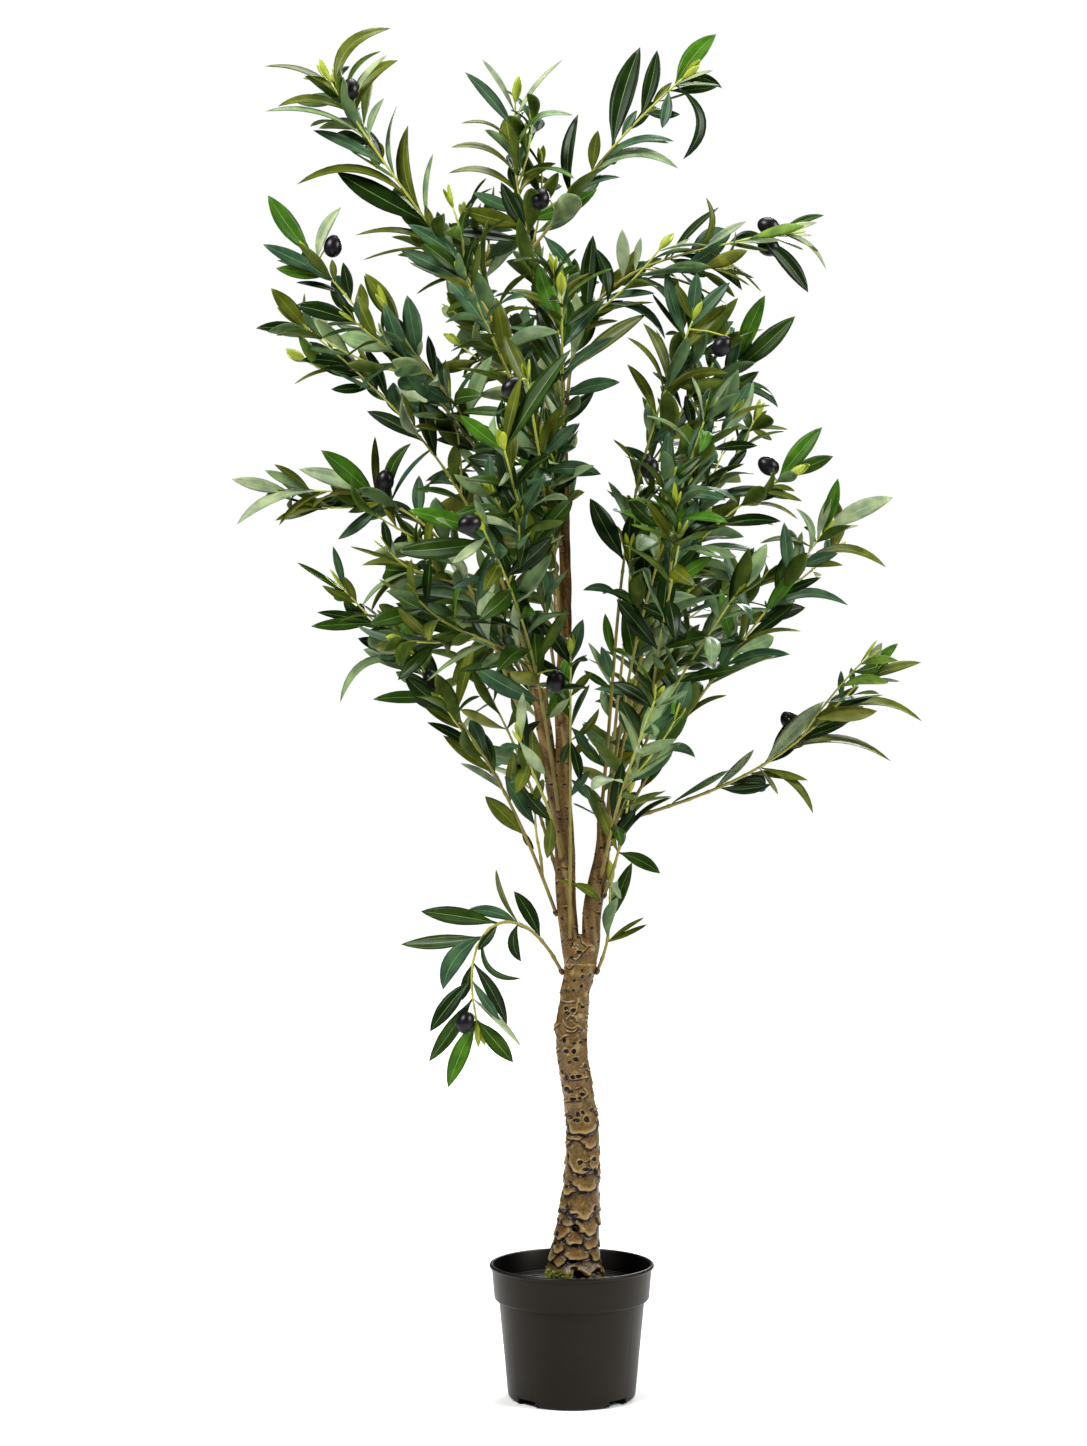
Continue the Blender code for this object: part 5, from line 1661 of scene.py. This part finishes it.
def make_trunk(draw):
    surface = Surface([*LIMBS["trunk"], *TRUNK_CROTCH], TRUNK_STEP, TRUNK_COLUMNS)
    surface.grain(draw, rise=0.0005, length=0.06)
    surface.roughen(draw, count=240, size=0.0045, rise=0.0012)
    trunk_scales(surface, draw)
    surface.roughen(draw, count=500, size=0.0018, rise=0.0010)
    pit_rows(surface, draw, *UPPER_PITS, off_front)
    pit_rows(surface, draw, *LOWER_PITS, off_front)
    for x, y, wide, tall in TRUNK_PITS:
        turn, height = surface.seen(x, y)
        facing = max(0.5, math.cos(turn - FRONT))
        half_wide, half_tall = (side * PHOTO_SCALE * PIT_SHARE for side in (wide, tall))
        depth = 1.1 * min(half_wide, half_tall)
        surface.pit(turn, height, half_wide / facing, half_tall, depth, lip=0.3)
    for line in TRUNK_FOLDS:
        surface.fold([surface.seen(x, y) for x, y in line], *FOLD_SIZE)
    surface.seam(draw, SEAM_HEIGHT, rise=0.0004, width=0.0009)
    trunk_foot(surface)
    surface.relief -= TRUNK_SUNK
    # Painted shade in the trunk's hollows and painted highlights on what stands out.
    surface.paint_relief_shading(0.0014)
    return surface


def make_bough(draw, name):
    columns, below, red_from = BOUGHS[name]
    surface = Surface([*below, *LIMBS[name]], BOUGH_STEP, columns)
    top = LIMBS[name][-1][2] - 0.01
    surface.grain(draw, rise=0.0004, length=0.08)
    pit_rows(surface, draw, 0.50, min(top, BOUGH_FINE_PITS), *BOUGH_PITS)
    pit_rows(surface, draw, BOUGH_FINE_PITS, top, *FINE_PITS)
    if name == "left_bough":
        surface.seam(draw, LEADER_SEAM, rise=0.0003, width=0.0009)
    # Painted shade in the bough's hollows and painted highlights on what stands out.
    surface.paint_relief_shading(0.0012)
    return surface, BOUGH_DOME, red_from


def make_bark():
    draw = random.Random(SEED + 500)
    looks = [
        bark_look("bark_resin", "#957d50", "#6a522b", "#48361a"),
        bark_look("bark_upper", "#745228", "#543b17", "#38260c"),
    ]
    surfaces = {"trunk": (make_trunk(draw), TRUNK_DOME, math.inf)}
    for name in BOUGHS:
        surfaces[name] = make_bough(draw, name)
    for name, (surface, dome, red_from) in surfaces.items():
        batch = Batch()
        surface.add_to(batch, dome)
        batch.kinds[0] = (batch.points[0][batch.faces[0][:, 0], 2] > red_from).astype(int)
        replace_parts(batch.piece("bark_" + name, looks, "bark"), name)


# Pot, its filling and the moss.

POT_HEIGHT = 0.146
FOOT_RADIUS = 0.070
FOOT_ROUND = 0.005
BODY_RADIUS = 0.080
COLLAR_BOTTOM = 0.107
COLLAR_RADIUS = 0.085
COLLAR_TOP_RADIUS = 0.0878
STEP_ROUND = 0.003
LIP_RADIUS = 0.0903
LIP_HEIGHT = 0.005
WALL = 0.002
FLOOR = 0.0025
NOTCH_ANGLES = (45, 135, 225, 315)
NOTCH_WIDTH = 0.025
NOTCH_HEIGHT = 0.0073
NOTCH_INNER = 0.053
POCKET_WALL = 0.002
FILL_EDGE_RADIUS = 0.080
FILL_EDGE_WIDTH = 0.003
FILL_EDGE_HEIGHT = 0.0015
POT_SIDES = 144
SHARP_ANGLE = math.radians(32)
FILL_GAP = 0.0005
EDGE_ROUND = 0.0008
INSIDE_FROM = 0.01  # how far below the filling's top the inner wall's darker colour, a painted shade, starts
# A raised ring moulded in the cover: from its rim inwards, and its height.
RING_FROM = 0.016
RING_WIDTH = 0.0025
RING_SLOPE = 0.0005
RING_HEIGHT = 0.0008


def arc(centre, radius, start, end, steps):
    angles = np.radians(np.linspace(start, end, steps + 1))
    return [(centre[0] + radius * math.cos(a), centre[1] + radius * math.sin(a)) for a in angles]


def turned(batch, profile, sides):
    """A profile of (radius, z), from the bottom's middle round to the top's, turned about Z."""
    turns = turns_round(sides)
    rings = [
        np.stack((radius * np.cos(turns), radius * np.sin(turns), np.full(sides, z)), -1)
        for radius, z in profile[1:-1]
    ]
    ends = [(0, 0, profile[0][1]), (0, 0, profile[-1][1])]
    batch.add(np.vstack((*rings, *ends)), closed_faces(len(rings), sides))


def pot_profile():
    foot = arc((FOOT_RADIUS - FOOT_ROUND, FOOT_ROUND), FOOT_ROUND, -90, 0, 8)
    step_centre = (COLLAR_RADIUS - STEP_ROUND, COLLAR_BOTTOM + STEP_ROUND)
    step = arc(step_centre, STEP_ROUND, -90, 0, 8)
    lip_middle = POT_HEIGHT - LIP_HEIGHT / 2
    bulge = LIP_RADIUS - COLLAR_TOP_RADIUS
    lip = arc((COLLAR_TOP_RADIUS, lip_middle), bulge, -90, 90, 12)
    collar_floor = COLLAR_BOTTOM + WALL
    inside_wall = [
        (COLLAR_TOP_RADIUS - WALL * 0.6, lip_middle + bulge * 0.8),
        (COLLAR_TOP_RADIUS - WALL, lip_middle + bulge * 0.2),
        (COLLAR_RADIUS - WALL, collar_floor),
        (BODY_RADIUS - WALL, collar_floor - FILL_GAP),
        (FOOT_RADIUS - WALL, FLOOR),
        (0, FLOOR),
    ]
    return [(0, 0), *foot, (BODY_RADIUS, COLLAR_BOTTOM), *step, *lip, *inside_wall]


def box_mesh(name, low, high, angle):
    sides = list(zip(low, high))
    corners = [(x, y, z) for x in sides[0] for y in sides[1] for z in sides[2]]
    faces = [(0, 1, 3, 2), (4, 6, 7, 5), (0, 4, 5, 1), (2, 3, 7, 6), (0, 2, 6, 4), (1, 5, 7, 3)]
    mesh = bpy.data.meshes.new(name)
    mesh.from_pydata(corners, [], faces)
    made = bpy.data.objects.new(name, mesh)
    made.rotation_euler.z = math.radians(angle)
    bpy.context.scene.collection.objects.link(made)
    return made


def combine(target, operation, others):
    group = bpy.data.collections.new("operands")
    for other in others:
        group.objects.link(other)
    boolean = target.modifiers.new(operation.lower(), "BOOLEAN")
    boolean.operation = operation
    boolean.operand_type = "COLLECTION"
    boolean.collection = group
    with bpy.context.temp_override(object=target):
        bpy.ops.object.modifier_apply(modifier=boolean.name)
    for other in others:
        bpy.data.objects.remove(other)
    bpy.data.collections.remove(group)


def make_pot():
    batch = Batch()
    turned(batch, pot_profile(), POT_SIDES)
    looks = [
        pot_look("pot_plastic", "#13100c", "#181410"),
        # A darker copy of the same plastic, which paints shade on the inner wall.
        pot_look("pot_inside_painted_shade", "#070605", "#0b0908"),
    ]
    pot = batch.piece("pot_shell", looks, "pot")
    half = NOTCH_WIDTH / 2
    pocket_low = (NOTCH_INNER - POCKET_WALL, -half - POCKET_WALL, FLOOR / 2)
    pocket_high = (FOOT_RADIUS - WALL / 2, half + POCKET_WALL, NOTCH_HEIGHT + POCKET_WALL)
    notch_low, notch_high = (NOTCH_INNER, -half, -FLOOR), (2 * FOOT_RADIUS, half, NOTCH_HEIGHT)
    combine(pot, "UNION", [box_mesh("pocket", pocket_low, pocket_high, a) for a in NOTCH_ANGLES])
    combine(pot, "DIFFERENCE", [box_mesh("notch", notch_low, notch_high, a) for a in NOTCH_ANGLES])
    pot.data.shade_smooth()
    pot.data.set_sharp_from_angle(angle=SHARP_ANGLE)
    # Inner faces above the filling get the darker copy, a painted shade.
    for face in pot.data.polygons:
        x, y, height = face.center
        inward = face.normal.x * x + face.normal.y * y < 0
        if inward and FILL_LEVEL - INSIDE_FROM < height < POT_HEIGHT - LIP_HEIGHT:
            face.material_index = 1
    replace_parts(pot, "pot")


def make_fill():
    bottom = NOTCH_HEIGHT + POCKET_WALL + FILL_GAP
    shoulder = COLLAR_BOTTOM + WALL + FILL_GAP
    inner = FILL_EDGE_RADIUS - FILL_EDGE_WIDTH
    round_height = FILL_LEVEL + FILL_EDGE_HEIGHT - EDGE_ROUND
    profile = [
        (0, bottom),
        (FOOT_RADIUS - WALL - FILL_GAP, bottom),
        (BODY_RADIUS - WALL - FILL_GAP, shoulder),
        (FILL_EDGE_RADIUS, shoulder),
        *arc((FILL_EDGE_RADIUS - EDGE_ROUND, round_height), EDGE_ROUND, 0, 90, 4),
        *arc((inner + EDGE_ROUND, round_height), EDGE_ROUND, 90, 180, 4),
        (inner, FILL_LEVEL),
        (inner - RING_FROM, FILL_LEVEL),
        (inner - RING_FROM - RING_SLOPE, FILL_LEVEL + RING_HEIGHT),
        (inner - RING_FROM - RING_WIDTH + RING_SLOPE, FILL_LEVEL + RING_HEIGHT),
        (inner - RING_FROM - RING_WIDTH, FILL_LEVEL),
        (0, FILL_LEVEL),
    ]
    batch = Batch()
    turned(batch, profile, POT_SIDES)
    stops = ((0.3, "#161515"), (0.7, "#201e1e"))
    look = plain_look("cover_plastic", 0.5, 0.2, 20.0, stops, bump=(600.0, 0.0001, 0.3))
    cover = batch.piece("pot_filling", [look.material], "fill")
    cover.data.set_sharp_from_angle(angle=SHARP_ANGLE)
    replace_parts(cover, "fill")


MOSS_LUMPS = 620
MOSS_FOOT = 0.0012
MOSS_HEIGHT = 0.018
MOSS_TURNS = (-1.45, -0.05)  # from the front
MOSS_SIZES = (0.0006, 0.0014)
MOSS_STANDS = (-0.0004, 0.0016)  # how far its lumps stand off the bark
LUMP_TILTS = (-60, -20, 20, 60)
LUMP_SIDES = 8


def moss_lump(draw, place, size):
    turns = turns_round(LUMP_SIDES)
    rings = []
    for tilt in LUMP_TILTS:
        lean = math.radians(tilt)
        uneven = 1 + 0.25 * np.sin(turns * 3 + draw.uniform(0, 6))
        radius = size * math.cos(lean) * uneven
        height = np.full(LUMP_SIDES, place[2] + size * math.sin(lean))
        across, deep = place[0] + radius * np.cos(turns), place[1] + radius * np.sin(turns)
        rings.append(np.stack((across, deep, height), -1))
    return np.vstack((*rings, place - Z_AXIS * size, place + Z_AXIS * size))


def make_moss():
    """Flocked moss on the left and front of the trunk's flare."""
    draw = random.Random(SEED + 900)
    batch = Batch()
    rows = smooth_stations(LIMBS["trunk"], 8)
    for _ in range(MOSS_LUMPS):
        height = FILL_LEVEL + MOSS_FOOT + MOSS_HEIGHT * draw.random() ** 1.6
        turn = FRONT + draw.uniform(*MOSS_TURNS)
        x, y, radius = limb_at(rows, height)
        size = draw.uniform(*MOSS_SIZES)
        reach = radius + draw.uniform(*MOSS_STANDS)
        place = np.array((x + reach * math.cos(turn), y + reach * math.sin(turn), height))
        batch.add(moss_lump(draw, place, size), closed_faces(len(LUMP_TILTS), LUMP_SIDES))
    stops = ((0.3, "#23300e"), (0.5, "#5a642a"), (0.72, "#aca25c"))
    look = plain_look("moss", 0.9, 0.1, 350.0, stops, bump=(900.0, 0.0008, 0.8))
    batch.piece("moss", [look.material], "foliage")


# Stage.

LIT_MIDDLE = (0, 0, 0.8)
# Round soft lights: place, size and power in watts.
LIGHTS = {
    "key": ((-2.0, -1.7, 3.1), 1.5, 178),
    "side_light": ((2.6, -1.1, 2.2), 1.5, 114),
    "top": ((0.2, 0.5, 3.6), 1.8, 85),
    "back_light": ((0.8, 2.9, 2.3), 1.5, 80),
}
ROOM_LIGHT = 0.05
FLOOR_REACH = 30.0
FLOOR_GLOW = 0.95  # the floor looks as white as the backdrop this far from the object
FLOOR_GLOW_FROM = (0.5, 3.5)


def area_light(name, place, size, power):
    light = bpy.data.lights.new(name, "AREA")
    light.shape = "DISK"
    light.size = size
    light.energy = power
    made = bpy.data.objects.new(name, light)
    made.location = place
    x, y, z = np.array(place) - np.array(LIT_MIDDLE)
    made.rotation_euler = (math.atan2(math.hypot(x, y), z), 0, math.atan2(x, -y))
    bpy.context.scene.collection.objects.link(made)


def make_floor():
    look = Look("floor_paper", 0.9, 0.0)
    look.base(look.ramp(look.noise(0.5), (0.0, "#f2f2f1"), (1.0, "#f5f5f4")))
    look.set(look.shader.inputs["Emission Color"], (1, 1, 1, 1))
    from_middle = look.node("ShaderNodeVectorMath", operation="LENGTH")
    look.set(from_middle.inputs[0], look.place)
    glow = look.range(from_middle.outputs["Value"], *FLOOR_GLOW_FROM, 0.0, FLOOR_GLOW)
    in_view = look.node("ShaderNodeLightPath").outputs["Is Camera Ray"]
    look.set(look.shader.inputs["Emission Strength"], look.math("MULTIPLY", glow, in_view))

    mesh = bpy.data.meshes.new("floor")
    corners = [(x * FLOOR_REACH, y * FLOOR_REACH, 0) for x, y in ((-1, -1), (1, -1), (1, 1), (-1, 1))]
    mesh.from_pydata(corners, [], [(0, 1, 2, 3)])
    mesh.materials.append(look.material)
    floor = bpy.data.objects.new("floor", mesh)
    bpy.context.scene.collection.objects.link(floor)


def make_room():
    """White where the camera sees it, and dim as a light."""
    world = bpy.data.worlds.new("studio")
    world.use_nodes = True
    tree = world.node_tree
    background = tree.nodes["Background"]
    background.inputs["Color"].default_value = (1, 1, 1, 1)
    path = tree.nodes.new("ShaderNodeLightPath")
    strength = tree.nodes.new("ShaderNodeMapRange")
    strength.inputs["To Min"].default_value = ROOM_LIGHT
    strength.inputs["To Max"].default_value = 1.0
    tree.links.new(path.outputs["Is Camera Ray"], strength.inputs["Value"])
    tree.links.new(strength.outputs["Result"], background.inputs["Strength"])
    bpy.context.scene.world = world


def make_stage():
    scene = bpy.context.scene
    camera = bpy.data.objects.new("camera", bpy.data.cameras.new("camera"))
    camera.location = CAMERA_PLACE
    camera.rotation_euler = (math.pi / 2, 0, 0)
    camera.data.lens = CAMERA_LENS
    camera.data.sensor_width = CAMERA_SENSOR
    scene.collection.objects.link(camera)
    scene.camera = camera
    make_floor()
    make_room()
    for name, settings in LIGHTS.items():
        area_light(name, *settings)
    scene.view_settings.view_transform = "Standard"


make_bark()
make_sprays()
make_pot()
make_fill()
make_moss()
make_stage()
